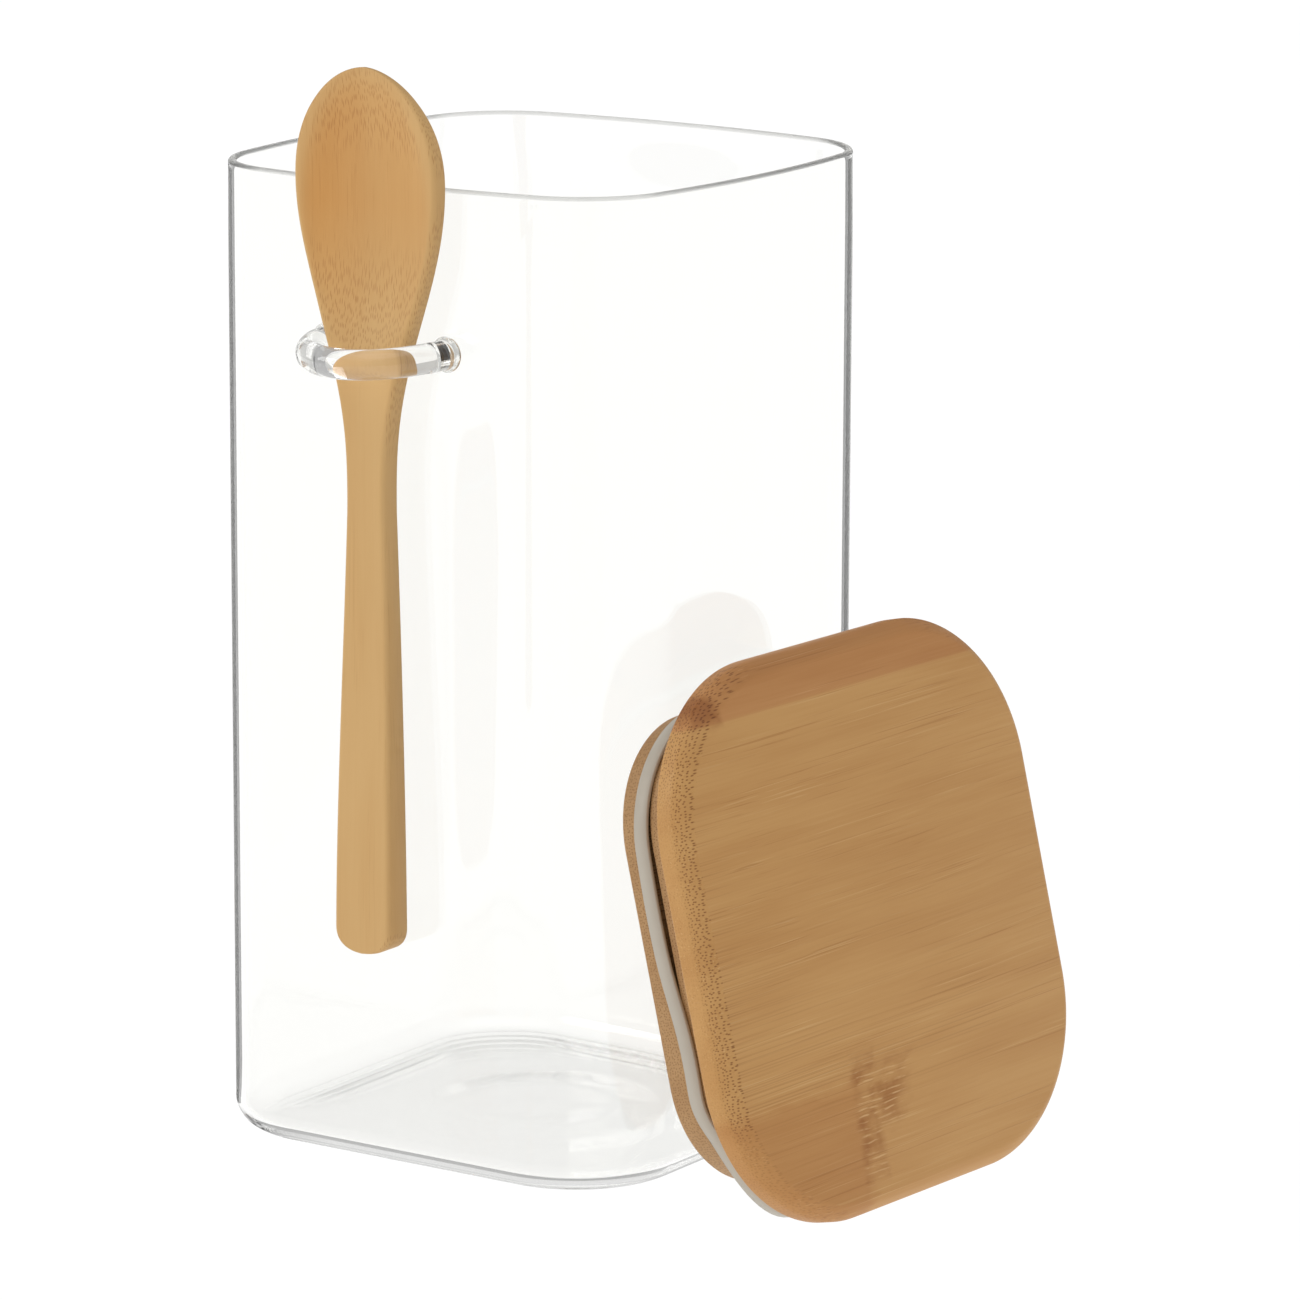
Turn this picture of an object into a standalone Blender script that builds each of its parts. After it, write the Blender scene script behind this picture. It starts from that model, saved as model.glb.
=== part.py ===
"""Square glass storage jar with a bamboo lid and a bamboo spoon.

The spoon hangs in a glass ring on the front wall. The lid is off and leans
on the right wall. Metres, +Z up, origin at the middle of the jar's base.
"""

import math

import bmesh
import bpy
import numpy as np
from mathutils import Matrix, Vector

# Clearances
TOUCH_GAP = 0.0003
CUT_OVERRUN = 0.004
WELD = 0.00001

# Glass jar, outside sizes
JAR_SIDE = 0.100
JAR_HEIGHT = 0.192
JAR_CORNER_RADIUS = 0.0233
GLASS_WALL = 0.0019
GLASS_FLOOR = 0.0030
FOOT_RADIUS = 0.0057

# Mouth of the jar: the corners draw in a little and the sides bow out
MOUTH_DRAW_IN = 0.0009
MOUTH_CORNER_RADIUS = 0.0204
MOUTH_BOW = 0.0021
MOUTH_BLEND_HEIGHT = 0.016
LIP_PROUD = 0.0005
LIP_HEIGHT = 0.0015

# Spoon ring: a bent glass rod on the front wall
ROD_DIAMETER = 0.0058
RING_BELOW_RIM = 0.0315
RING_REACH = 0.0158
RING_OFFSET = -0.0012
RING_DROP = 0.0009
RING_PLAY = 0.0006

# Spoon, hanging by its taper in the ring. Distances run down from its top.
SPOON_LENGTH = 0.1696
SPOON_SEAT_DISTANCE = 0.0536
BOWL_WIDTH = 0.0316
BOWL_WIDEST = 0.0215
BOWL_THICKNESS = 0.0056
BOWL_TIP_RISE = 0.0020
BOWL_TIP_LENGTH = 0.016
NECK_WIDTH = 0.0090
NECK_DISTANCE = 0.084
NECK_THICKNESS = 0.0050
HANDLE_END_WIDTH = 0.0131
HANDLE_END_THICKNESS = 0.0066
HANDLE_END_ROUND = 0.0050
SPOON_FRONT_EDGE = 0.0007
SPOON_BACK_EDGE = 0.0009
HOLLOW_DEPTH = 0.0030
HOLLOW_RIM = 0.0017
HOLLOW_LENGTH = 0.052

# Lid, measured from the cap's face: cap board, then the plug board under it
CAP_OVERHANG = 0.0036
CAP_CORNER_RADIUS = 0.0321
CAP_BOW = 0.0001
CAP_THICKNESS = 0.0067
CAP_FACE_EDGE = 0.0024
CAP_BACK_EDGE = 0.0006
PLUG_PLAY = 0.0023
PLUG_CORNER_RADIUS = 0.0225
PLUG_THICKNESS = 0.0155
PLUG_END_EDGE = 0.0007
GROOVE_DEPTH = 0.0030
GROOVE_DISTANCE = 0.0072
SEAL_THICKNESS = 0.0027
SEAL_SQUEEZE = 0.0012
SEAL_EDGE = 0.0006

# Place of the lid: it stands on its edge and leans on the jar's right wall
LID_LEAN = math.radians(13.4)
LID_TURN = math.radians(-5.3)
LID_ROLL = math.radians(0.8)
LID_ALONG_WALL = -0.0072

# Facets
CORNER_STEPS = 10
SIDE_STEPS = 5
FOOT_STEPS = 5
MOUTH_STEPS = 5
LIP_STEPS = 8
ROD_RESOLUTION = 3
ROD_STRETCHES = 12
SPOON_STEPS = 52
HOLLOW_SEGMENTS = 40

# Shape of the ring: its curve's four guide points, from the wall to the front, as shares
# of its half width at the wall, of its reach and of its drop
RING_WIDTH_SHARES = (1.0, 1.0, 0.67, 0.0)
RING_REACH_SHARES = (0.0, 0.36, 1.0, 1.0)
RING_DROP_SHARES = (0.0, 0.0, 1.0, 1.0)


def clear_scene():
    for old in list(bpy.data.objects):
        bpy.data.objects.remove(old, do_unlink=True)


def new_collection(name):
    made = bpy.data.collections.new(name)
    bpy.context.scene.collection.children.link(made)
    return made


def new_material(name, colour, roughness, transmission=0.0):
    material = bpy.data.materials.new(name)
    material.use_nodes = True
    shader = material.node_tree.nodes["Principled BSDF"]
    shader.inputs["Base Color"].default_value = (*colour, 1.0)
    shader.inputs["Roughness"].default_value = roughness
    shader.inputs["Metallic"].default_value = 0.0
    shader.inputs["Transmission Weight"].default_value = transmission
    return material


def new_object(name, mesh, collection, material=None):
    made = bpy.data.objects.new(name, mesh)
    collection.objects.link(made)
    if material is not None:
        mesh.materials.clear()
        mesh.materials.append(material)
    return made


def smooth(mesh, angle=math.radians(35)):
    mesh.shade_smooth()
    mesh.set_sharp_from_angle(angle=angle)


def outline(half, corner, bow):
    """A square with round corners whose sides bow out, as points from the +X side round to +Y.

    The corners are those of a plain rounded square with this half side. The middle of
    each side stands out by bow, and the side is an arc that meets its corners smoothly.
    """
    centre = half - corner
    turn = 2 * math.atan2(bow, centre)
    side_end = centre + corner * math.sin(turn)
    points = []
    for quarter in range(4):
        stretch = []
        for step in range(SIDE_STEPS):
            along = -1 + 2 * step / SIDE_STEPS
            sag = 0.0
            if turn > 0:
                bend = side_end / math.sin(turn)
                sag = bend - math.sqrt(bend**2 - (along * side_end) ** 2)
            stretch.append((half + bow - sag, along * side_end))
        for step in range(CORNER_STEPS):
            angle = turn + (math.pi / 2 - 2 * turn) * step / CORNER_STEPS
            x = centre + corner * math.cos(angle)
            y = centre + corner * math.sin(angle)
            stretch.append((x, y))
        rotation = Matrix.Rotation(quarter * math.pi / 2, 2)
        points += [tuple(rotation @ Vector(point)) for point in stretch]
    return points


def loft(name, rings):
    """A closed mesh through rings of equal length, with its first and last ring filled."""
    mesh = bpy.data.meshes.new(name)
    bm = bmesh.new()
    loops = [[bm.verts.new(point) for point in ring] for ring in rings]
    count = len(loops[0])
    for lower, upper in zip(loops, loops[1:]):
        for i in range(count):
            j = (i + 1) % count
            bm.faces.new((lower[i], lower[j], upper[j], upper[i]))
    bm.faces.new(loops[0][::-1])
    bm.faces.new(loops[-1])
    bmesh.ops.recalc_face_normals(bm, faces=bm.faces)
    bm.to_mesh(mesh)
    bm.free()
    return mesh


def mesh_of(guide):
    """The evaluated mesh of a curve, welded, and the curve removed."""
    graph = bpy.context.evaluated_depsgraph_get()
    mesh = bpy.data.meshes.new_from_object(guide.evaluated_get(graph))
    bm = bmesh.new()
    bm.from_mesh(mesh)
    bmesh.ops.remove_doubles(bm, verts=bm.verts, dist=WELD)
    bmesh.ops.recalc_face_normals(bm, faces=bm.faces)
    bm.to_mesh(mesh)
    bm.free()
    bpy.data.objects.remove(guide, do_unlink=True)
    return mesh


def plate(name, outlines, top, thickness):
    """A flat board cut to an outline, or a flat ring between two outlines, its upper face at top."""
    curve = bpy.data.curves.new(name, "CURVE")
    curve.dimensions = "2D"
    curve.fill_mode = "BOTH"
    curve.extrude = thickness / 2
    for points in outlines:
        spline = curve.splines.new("POLY")
        spline.points.add(len(points) - 1)
        spline.use_cyclic_u = True
        for target, (x, y) in zip(spline.points, points):
            target.co = (x, y, 0, 1)
    guide = bpy.data.objects.new(name, curve)
    bpy.context.scene.collection.objects.link(guide)
    bpy.context.view_layer.update()
    mesh = mesh_of(guide)
    mesh.transform(Matrix.Translation((0, 0, top - thickness / 2)))
    return mesh


def join_flat_faces(mesh):
    """Makes each flat end of a board one face, so that its edge can be rounded cleanly."""
    bm = bmesh.new()
    bm.from_mesh(mesh)
    ends = [face for face in bm.faces if abs(face.normal.z) > math.cos(math.radians(1))]
    bmesh.ops.dissolve_faces(bm, faces=ends)
    bm.to_mesh(mesh)
    bm.free()


def round_edge(mesh, chosen, radius, segments):
    """Rounds the edges that chosen(edge) picks."""
    bm = bmesh.new()
    bm.from_mesh(mesh)
    edges = [edge for edge in bm.edges if chosen(edge)]
    bmesh.ops.bevel(
        bm, geom=edges, offset=radius, segments=segments, profile=0.5,
        affect="EDGES", clamp_overlap=False,
    )
    bmesh.ops.recalc_face_normals(bm, faces=bm.faces)
    bm.to_mesh(mesh)
    bm.free()


def is_flat(face, direction):
    """Whether a face is one of a board's flat ends, up for 1 and down for -1."""
    return face.normal.z * direction > math.cos(math.radians(20))


def rim(direction):
    """Picks the edges between a board's sides and its upper (1) or lower (-1) face."""
    def chosen(edge):
        ends = [is_flat(face, direction) for face in edge.link_faces]
        return len(ends) == 2 and ends[0] != ends[1]
    return chosen


def outer_rims(edge):
    """Picks the edges round the outside of a flat ring, above and below."""
    ends = [is_flat(face, 1) or is_flat(face, -1) for face in edge.link_faces]
    if len(ends) != 2 or ends[0] == ends[1]:
        return False
    side = edge.link_faces[ends.index(False)]
    return side.normal.dot(side.calc_center_median()) > 0


def cut(target, cutter):
    """Takes the cutter away from the target, as a finished mesh."""
    modifier = target.modifiers.new("cut", "BOOLEAN")
    modifier.operation = "DIFFERENCE"
    modifier.solver = "EXACT"
    modifier.object = cutter


def ring_height():
    """The ring keeps its place below the rim, whatever the jar's height."""
    return JAR_HEIGHT - RING_BELOW_RIM


def blend(a, b, share):
    eased = share * share * (3 - 2 * share)
    return a + (b - a) * eased


# Glass jar


def wall_section(height):
    """Half side, corner radius and bow of the wall's outer face at a height."""
    half = JAR_SIDE / 2
    start = JAR_HEIGHT - LIP_HEIGHT - MOUTH_BLEND_HEIGHT
    share = min(max((height - start) / MOUTH_BLEND_HEIGHT, 0.0), 1.0)
    return (
        blend(half, half - MOUTH_DRAW_IN, share),
        blend(JAR_CORNER_RADIUS, MOUTH_CORNER_RADIUS, share),
        blend(0.0, MOUTH_BOW, share),
    )


def jar_ring(height, offset):
    """The jar's outline at a height, moved out from the wall's outer face by offset."""
    half, corner, bow = wall_section(height)
    return [(x, y, height) for x, y in outline(half + offset, corner + offset, bow)]


def foot_rings(floor, radius, offset):
    """The round from a floor up to the wall, from the floor outwards."""
    rings = []
    for step in range(FOOT_STEPS + 1):
        angle = math.pi / 2 * step / FOOT_STEPS
        inset = radius * (1 - math.sin(angle))
        rings.append(jar_ring(floor + radius * (1 - math.cos(angle)), offset - inset))
    return rings


def wall_rings(offset):
    start = JAR_HEIGHT - LIP_HEIGHT - MOUTH_BLEND_HEIGHT
    heights = [start + MOUTH_BLEND_HEIGHT * step / MOUTH_STEPS for step in range(MOUTH_STEPS)]
    return [jar_ring(height, offset) for height in heights]


def lip_rings():
    """The fire-polished rim: a bead that stands out a little, from its outer foot over the top."""
    reach = (GLASS_WALL + LIP_PROUD) / 2
    middle = LIP_PROUD - reach
    rise = LIP_HEIGHT / 2
    centre = JAR_HEIGHT - rise
    first = -math.pi / 4
    rings = []
    for step in range(LIP_STEPS + 1):
        angle = first + (math.pi - first) * step / LIP_STEPS
        rings.append(jar_ring(centre + rise * math.sin(angle), middle + reach * math.cos(angle)))
    return rings


def make_jar(collection, material):
    inner_radius = FOOT_RADIUS - GLASS_WALL
    outside = foot_rings(0.0, FOOT_RADIUS, 0.0) + wall_rings(0.0)
    inside = foot_rings(GLASS_FLOOR, inner_radius, -GLASS_WALL) + wall_rings(-GLASS_WALL)
    mesh = loft("glass_jar", outside + lip_rings() + inside[::-1])
    smooth(mesh)
    return new_object("glass_jar", mesh, collection, material)


# Spoon, measured down from its top


def spoon_half_width(distance):
    """An egg-shaped bowl that tapers to the neck, and a handle that widens to a round end."""
    bowl = BOWL_WIDTH / 2
    neck = NECK_WIDTH / 2
    end = HANDLE_END_WIDTH / 2
    if distance < BOWL_WIDEST:
        return bowl * (1 - (1 - distance / BOWL_WIDEST) ** 2.2) ** 0.56
    if distance < NECK_DISTANCE:
        share = (distance - BOWL_WIDEST) / (NECK_DISTANCE - BOWL_WIDEST)
        return neck + (bowl - neck) * (1 - share**2) ** 3.4
    share = (distance - NECK_DISTANCE) / (SPOON_LENGTH - NECK_DISTANCE)
    width = neck + (end - neck) * (1 - (1 - share) ** 1.6)
    past = (distance - SPOON_LENGTH + HANDLE_END_ROUND) / HANDLE_END_ROUND
    if past > 0:
        width *= max(1 - past**2.5, 0.0) ** (1 / 2.5)
    return width


def spoon_thickness(distance):
    """Thick at the bowl, thinnest at the neck and thicker again at the end of the handle."""
    if distance < NECK_DISTANCE:
        return blend(BOWL_THICKNESS, NECK_THICKNESS, distance / NECK_DISTANCE)
    share = (distance - NECK_DISTANCE) / (SPOON_LENGTH - NECK_DISTANCE)
    return blend(NECK_THICKNESS, HANDLE_END_THICKNESS, share)


def spoon_back_rise(distance):
    """The back of the bowl curves forward to its tip."""
    return BOWL_TIP_RISE * max(1 - distance / BOWL_TIP_LENGTH, 0.0) ** 2


def spoon_stations():
    """Distances along the spoon, closer together at its two round ends."""
    stations = []
    for step in range(1, SPOON_STEPS):
        share = step / SPOON_STEPS
        crowding = 0.8 * math.sin(2 * math.pi * share) / (2 * math.pi)
        stations.append(SPOON_LENGTH * (share - crowding))
    return stations


def spoon_outline():
    right = [(spoon_half_width(distance), -distance) for distance in spoon_stations()]
    left = [(-x, y) for x, y in reversed(right)]
    return [(0, 0)] + right + [(0, -SPOON_LENGTH)] + left


def slice_across(mesh, distances):
    """Cuts straight lines across a board, so that each slice of it can be flat."""
    bm = bmesh.new()
    bm.from_mesh(mesh)
    for distance in distances:
        parts = bm.verts[:] + bm.edges[:] + bm.faces[:]
        bmesh.ops.bisect_plane(
            bm, geom=parts, dist=WELD, plane_co=(0, -distance, 0), plane_no=(0, 1, 0)
        )
    bm.to_mesh(mesh)
    bm.free()


def hollow_cutter(collection):
    """An ellipsoid whose lowest part scoops the bowl."""
    depth_axis = 2 * HOLLOW_DEPTH
    footprint = math.sqrt(1 - ((depth_axis - HOLLOW_DEPTH) / depth_axis) ** 2)
    half_length = HOLLOW_LENGTH / 2 / footprint
    half_width = (BOWL_WIDTH / 2 - HOLLOW_RIM) / footprint
    bm = bmesh.new()
    bmesh.ops.create_uvsphere(
        bm, u_segments=HOLLOW_SEGMENTS, v_segments=HOLLOW_SEGMENTS, radius=1
    )
    bmesh.ops.scale(bm, verts=bm.verts, vec=(half_width, half_length, depth_axis))
    middle = HOLLOW_RIM + HOLLOW_LENGTH / 2
    place = Vector((0, -middle, spoon_thickness(middle) + depth_axis - HOLLOW_DEPTH))
    bmesh.ops.translate(bm, verts=bm.verts, vec=place)
    mesh = bpy.data.meshes.new("hollow_cutter")
    bm.to_mesh(mesh)
    bm.free()
    cutter = new_object("hollow_cutter", mesh, collection)
    cutter.hide_render = True
    cutter.display_type = "WIRE"
    return cutter


def make_spoon(collection, cutters, material):
    """A blank cut to the outline, thinned at the neck, with rounded edges and a scooped bowl."""
    mesh = plate("spoon", [spoon_outline()], BOWL_THICKNESS, BOWL_THICKNESS)
    join_flat_faces(mesh)
    slice_across(mesh, spoon_stations())
    for vert in mesh.vertices:
        distance = -vert.co.y
        front = vert.co.z > BOWL_THICKNESS / 2
        vert.co.z = spoon_thickness(distance) if front else spoon_back_rise(distance)
    round_edge(mesh, rim(1), SPOON_FRONT_EDGE, 2)
    round_edge(mesh, rim(-1), SPOON_BACK_EDGE, 2)
    smooth(mesh)
    spoon = new_object("spoon", mesh, collection, material)
    cutter = hollow_cutter(cutters)
    cut(spoon, cutter)

    # The spoon stands bowl up, its back on the lip and its hollow facing out.
    lip_face = JAR_SIDE / 2 - MOUTH_DRAW_IN + MOUTH_BOW + LIP_PROUD
    top = ring_height() + SPOON_SEAT_DISTANCE
    place = Matrix.Translation((RING_OFFSET, -lip_face - TOUCH_GAP, top))
    upright = place @ Matrix.Rotation(math.pi / 2, 4, "X")
    spoon.matrix_world = upright
    cutter.matrix_world = upright
    return spoon


# Spoon ring


def bezier(points, share):
    a, b, c, d = points
    rest = 1 - share
    return a * rest**3 + 3 * b * rest**2 * share + 3 * c * rest * share**2 + d * share**3


def ring_centre_line(half):
    """Points along one arm of the rod's centre line: across, out from the wall, and up."""
    shares = np.linspace(0, 1, 65)
    across = half * bezier(RING_WIDTH_SHARES, shares)
    out = RING_REACH * bezier(RING_REACH_SHARES, shares)
    up = -RING_DROP * bezier(RING_DROP_SHARES, shares)
    return np.stack([across, out, up], axis=1)


def ring_half_width():
    """Half the loop's width at the wall that holds the spoon's taper with its play."""
    rod = ROD_DIAMETER / 2
    front = MOUTH_BOW - MOUTH_DRAW_IN + LIP_PROUD + TOUCH_GAP
    front += spoon_thickness(SPOON_SEAT_DISTANCE)
    corners = []
    for up in np.linspace(-rod - RING_DROP, rod, 25):
        width = spoon_half_width(SPOON_SEAT_DISTANCE - up)
        corners.append((width - SPOON_FRONT_EDGE, front, up))
        corners.append((width, front - SPOON_FRONT_EDGE, up))
    corners = np.array(corners)
    narrow = NECK_WIDTH / 2
    wide = JAR_SIDE / 2
    for _ in range(30):
        half = (narrow + wide) / 2
        between = corners[:, None] - ring_centre_line(half)[None]
        if np.linalg.norm(between, axis=2).min() < rod + RING_PLAY:
            narrow = half
        else:
            wide = half
    return wide


def make_ring(collection, material):
    """A loop of rod: it leaves the wall and closes round the front of the spoon."""
    half = ring_half_width()
    wall = -JAR_SIDE / 2 - TOUCH_GAP
    curve = bpy.data.curves.new("spoon_ring", "CURVE")
    curve.dimensions = "3D"
    curve.bevel_depth = ROD_DIAMETER / 2
    curve.bevel_resolution = ROD_RESOLUTION
    curve.use_fill_caps = True
    curve.resolution_u = ROD_STRETCHES
    spline = curve.splines.new("BEZIER")
    spline.bezier_points.add(2)
    spline.resolution_u = ROD_STRETCHES

    def guide(number, side):
        width = side * half * RING_WIDTH_SHARES[number]
        reach = RING_REACH * RING_REACH_SHARES[number]
        drop = RING_DROP * RING_DROP_SHARES[number]
        return (RING_OFFSET + width, wall - reach, ring_height() - drop)

    left, tip, right = spline.bezier_points
    left.co = guide(0, -1)
    left.handle_right = guide(1, -1)
    left.handle_left = guide(0, -1)
    tip.co = guide(3, 1)
    tip.handle_left = guide(2, -1)
    tip.handle_right = guide(2, 1)
    right.co = guide(0, 1)
    right.handle_left = guide(1, 1)
    right.handle_right = guide(0, 1)
    ring = bpy.data.objects.new("spoon_ring", curve)
    collection.objects.link(ring)
    curve.materials.append(material)
    return ring


# Lid, built face up with the cap's face at zero, then stood on its edge


def plug_half():
    """The plug board goes into the mouth with play all round."""
    return JAR_SIDE / 2 - MOUTH_DRAW_IN - GLASS_WALL - PLUG_PLAY


def make_cap(collection, material):
    half = JAR_SIDE / 2 + CAP_OVERHANG
    mesh = plate("lid_cap", [outline(half, CAP_CORNER_RADIUS, CAP_BOW)], 0.0, CAP_THICKNESS)
    join_flat_faces(mesh)
    round_edge(mesh, rim(1), CAP_FACE_EDGE, 4)
    round_edge(mesh, rim(-1), CAP_BACK_EDGE, 2)
    smooth(mesh)
    return new_object("lid_cap", mesh, collection, material)


def make_plug(collection, cutters, material):
    """A board with a groove round its edge for the seal."""
    half = plug_half()
    top = -CAP_THICKNESS - TOUCH_GAP
    mesh = plate("lid_plug", [outline(half, PLUG_CORNER_RADIUS, CAP_BOW)], top, PLUG_THICKNESS)
    join_flat_faces(mesh)
    round_edge(mesh, rim(-1), PLUG_END_EDGE, 2)
    smooth(mesh)
    plug = new_object("lid_plug", mesh, collection, material)

    width = SEAL_THICKNESS + 2 * TOUCH_GAP
    beyond = outline(half + CUT_OVERRUN, PLUG_CORNER_RADIUS + CUT_OVERRUN, CAP_BOW)
    floor = outline(half - GROOVE_DEPTH, PLUG_CORNER_RADIUS - GROOVE_DEPTH, CAP_BOW)
    groove = plate("groove_cutter", [beyond, floor], top - GROOVE_DISTANCE, width)
    cutter = new_object("groove_cutter", groove, cutters)
    cutter.hide_render = True
    cutter.display_type = "WIRE"
    cut(plug, cutter)
    return plug, cutter


def make_seal(collection, material):
    """A flat silicone ring in the groove, a little larger than the mouth that it closes."""
    half = plug_half()
    proud = PLUG_PLAY + SEAL_SQUEEZE
    root = GROOVE_DEPTH - TOUCH_GAP
    outer = outline(half + proud, PLUG_CORNER_RADIUS + proud, CAP_BOW)
    inner = outline(half - root, PLUG_CORNER_RADIUS - root, CAP_BOW)
    top = -CAP_THICKNESS - GROOVE_DISTANCE - 2 * TOUCH_GAP
    mesh = plate("lid_seal", [outer, inner], top, SEAL_THICKNESS)
    round_edge(mesh, outer_rims, SEAL_EDGE, 2)
    smooth(mesh)
    return new_object("lid_seal", mesh, collection, material)


def wall_at(y):
    """How far the right wall reaches at a place along it, with its round corners."""
    past = max(abs(y) - JAR_SIDE / 2 + JAR_CORNER_RADIUS, 0.0)
    drop = JAR_CORNER_RADIUS - math.sqrt(max(JAR_CORNER_RADIUS**2 - past**2, 0.0))
    return JAR_SIDE / 2 - drop


def stand_lid(collection, pieces, followers):
    """Stands the lid on its edge, leans it back on the right wall and turns it a little."""
    upright = Matrix(((0, 0, 1), (1, 0, 0), (0, 1, 0)))
    turn = Matrix.Rotation(LID_TURN, 3, "Z") @ Matrix.Rotation(-LID_LEAN, 3, "Y")
    rotation = turn @ upright @ Matrix.Rotation(LID_ROLL, 3, "Z")
    points = np.array([rotation @ vert.co for piece in pieces for vert in piece.data.vertices])
    reach = max(wall_at(y + LID_ALONG_WALL) - x for x, y, _ in points)
    place = Vector((reach + TOUCH_GAP, LID_ALONG_WALL, -points[:, 2].min()))
    pose = bpy.data.objects.new("lid_pose", None)
    collection.objects.link(pose)
    pose.matrix_world = Matrix.Translation(place) @ rotation.to_4x4()
    for piece in pieces + followers:
        piece.parent = pose
    return pose


def main():
    clear_scene()
    parts = new_collection("storage_jar")
    cutters = new_collection("cutters")

    clear_glass = new_material("clear_glass", (0.97, 0.98, 0.98), 0.0, 1.0)
    ring_glass = new_material("ring_glass", (0.97, 0.98, 0.98), 0.02, 1.0)
    spoon_bamboo = new_material("spoon_bamboo", (0.58, 0.34, 0.13), 0.5)
    cap_bamboo = new_material("cap_bamboo", (0.44, 0.25, 0.10), 0.45)
    plug_bamboo = new_material("plug_bamboo", (0.50, 0.29, 0.12), 0.55)
    silicone = new_material("silicone", (0.52, 0.49, 0.44), 0.35)

    make_jar(parts, clear_glass)
    make_ring(parts, ring_glass)
    make_spoon(parts, cutters, spoon_bamboo)
    cap = make_cap(parts, cap_bamboo)
    plug, groove = make_plug(parts, cutters, plug_bamboo)
    seal = make_seal(parts, silicone)
    stand_lid(parts, [cap, plug, seal], [groove])


main()
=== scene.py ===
# %% [markdown]
# # A square glass storage jar with a bamboo lid and a bamboo spoon
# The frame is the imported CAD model. It fixes where every piece is and how it moves.
# This lesson gives each piece its finished shape and its finish: clear blown glass,
# sanded bamboo and a silicone seal. All lengths are metres.

# %% Load the frame
import math

import bmesh
import bpy
from mathutils import Matrix, Vector


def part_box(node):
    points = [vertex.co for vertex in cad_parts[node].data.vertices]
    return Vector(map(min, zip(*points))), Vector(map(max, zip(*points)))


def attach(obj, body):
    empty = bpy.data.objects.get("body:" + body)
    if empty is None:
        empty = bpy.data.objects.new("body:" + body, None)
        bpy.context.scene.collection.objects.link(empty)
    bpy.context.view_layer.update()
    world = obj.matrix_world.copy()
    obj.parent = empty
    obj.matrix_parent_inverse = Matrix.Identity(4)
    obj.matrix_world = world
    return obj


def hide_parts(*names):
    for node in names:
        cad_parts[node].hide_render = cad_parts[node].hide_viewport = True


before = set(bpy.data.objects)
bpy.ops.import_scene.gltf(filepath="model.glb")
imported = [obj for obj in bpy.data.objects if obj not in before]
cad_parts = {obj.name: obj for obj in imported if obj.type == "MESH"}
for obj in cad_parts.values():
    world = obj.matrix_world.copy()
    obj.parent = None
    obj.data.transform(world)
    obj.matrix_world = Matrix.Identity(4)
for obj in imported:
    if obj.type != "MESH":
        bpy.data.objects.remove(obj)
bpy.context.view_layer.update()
print("nodes:", sorted(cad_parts))

# %% [markdown]
# ## Camera
# The photograph was matched with one camera: where it stands round the jar, how far off,
# and how long its lens is. A long lens from far away keeps the walls nearly parallel.
# The focal length was worked out in pixels of a 1300 pixel picture, so it is turned
# into millimetres for a 36 mm sensor.

# %% Place the camera
PICTURE_SIDE = 1300
FOCAL_PIXELS = 6894.117
SENSOR_WIDTH = 36.0
CAMERA_AZIMUTH = math.radians(33.909)
CAMERA_ELEVATION = math.radians(12.15)
CAMERA_ROLL = math.radians(0.218)
CAMERA_DISTANCE = 1.350965
CAMERA_TARGET = Vector((0.018279, 0.010719, 0.093950))
CAMERA_REACH = 50.0

back = Vector((
    math.sin(CAMERA_AZIMUTH) * math.cos(CAMERA_ELEVATION),
    -math.cos(CAMERA_AZIMUTH) * math.cos(CAMERA_ELEVATION),
    math.sin(CAMERA_ELEVATION),
))
right = Vector((math.cos(CAMERA_AZIMUTH), math.sin(CAMERA_AZIMUTH), 0.0))
up = back.cross(right)
rolled_right = right * math.cos(CAMERA_ROLL) + up * math.sin(CAMERA_ROLL)
rolled_up = up * math.cos(CAMERA_ROLL) - right * math.sin(CAMERA_ROLL)

camera_data = bpy.data.cameras.new("camera")
camera_data.sensor_width = SENSOR_WIDTH
camera_data.lens = FOCAL_PIXELS * SENSOR_WIDTH / PICTURE_SIDE
camera_data.clip_end = CAMERA_REACH
camera = bpy.data.objects.new("camera", camera_data)
bpy.context.scene.collection.objects.link(camera)
camera.matrix_world = Matrix((rolled_right, rolled_up, back)).transposed().to_4x4()
camera.location = CAMERA_TARGET + back * CAMERA_DISTANCE
bpy.context.scene.camera = camera
print("camera at", [round(value, 4) for value in camera.location])
print("lens", round(camera_data.lens, 2), "mm")

# %% [markdown]
# ## Small helpers
# A material is a small network of nodes, and the same few kinds come back all the time.
# One helper sets or links the inputs of a node, one adds a node of any kind, and short ones
# add the kinds that are needed most. Another turns a screen colour, as a picture editor
# gives it, into the linear colour that Blender works in.

# %% Helpers for nodes and colours


def feed(node, inputs):
    """Sets inputs of a node. An input that is given a socket is linked to it."""
    for key, value in inputs.items():
        if isinstance(value, bpy.types.NodeSocket):
            node.id_data.links.new(value, node.inputs[key])
        else:
            node.inputs[key].default_value = value


def put(tree, kind, label, inputs=None, **settings):
    """Adds a node, and sets its properties and its inputs."""
    made = tree.nodes.new(kind)
    made.label = label
    for name, value in settings.items():
        setattr(made, name, value)
    feed(made, inputs or {})
    return made


def screen_colour(red, green, blue):
    """A colour given as 0 to 255 on a screen, as linear red, green, blue and alpha."""
    linear = []
    for value in (red, green, blue):
        share = value / 255
        linear.append(share / 12.92 if share < 0.04045 else ((share + 0.055) / 1.055) ** 2.4)
    return (*linear, 1.0)


def own_place(tree):
    """Where a point lies on its own piece, as an output socket."""
    return put(tree, "ShaderNodeTexCoord", "own place").outputs["Object"]


def light_path(tree):
    """What kind of ray asks, as output sockets."""
    return put(tree, "ShaderNodeLightPath", "kind of ray").outputs


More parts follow.
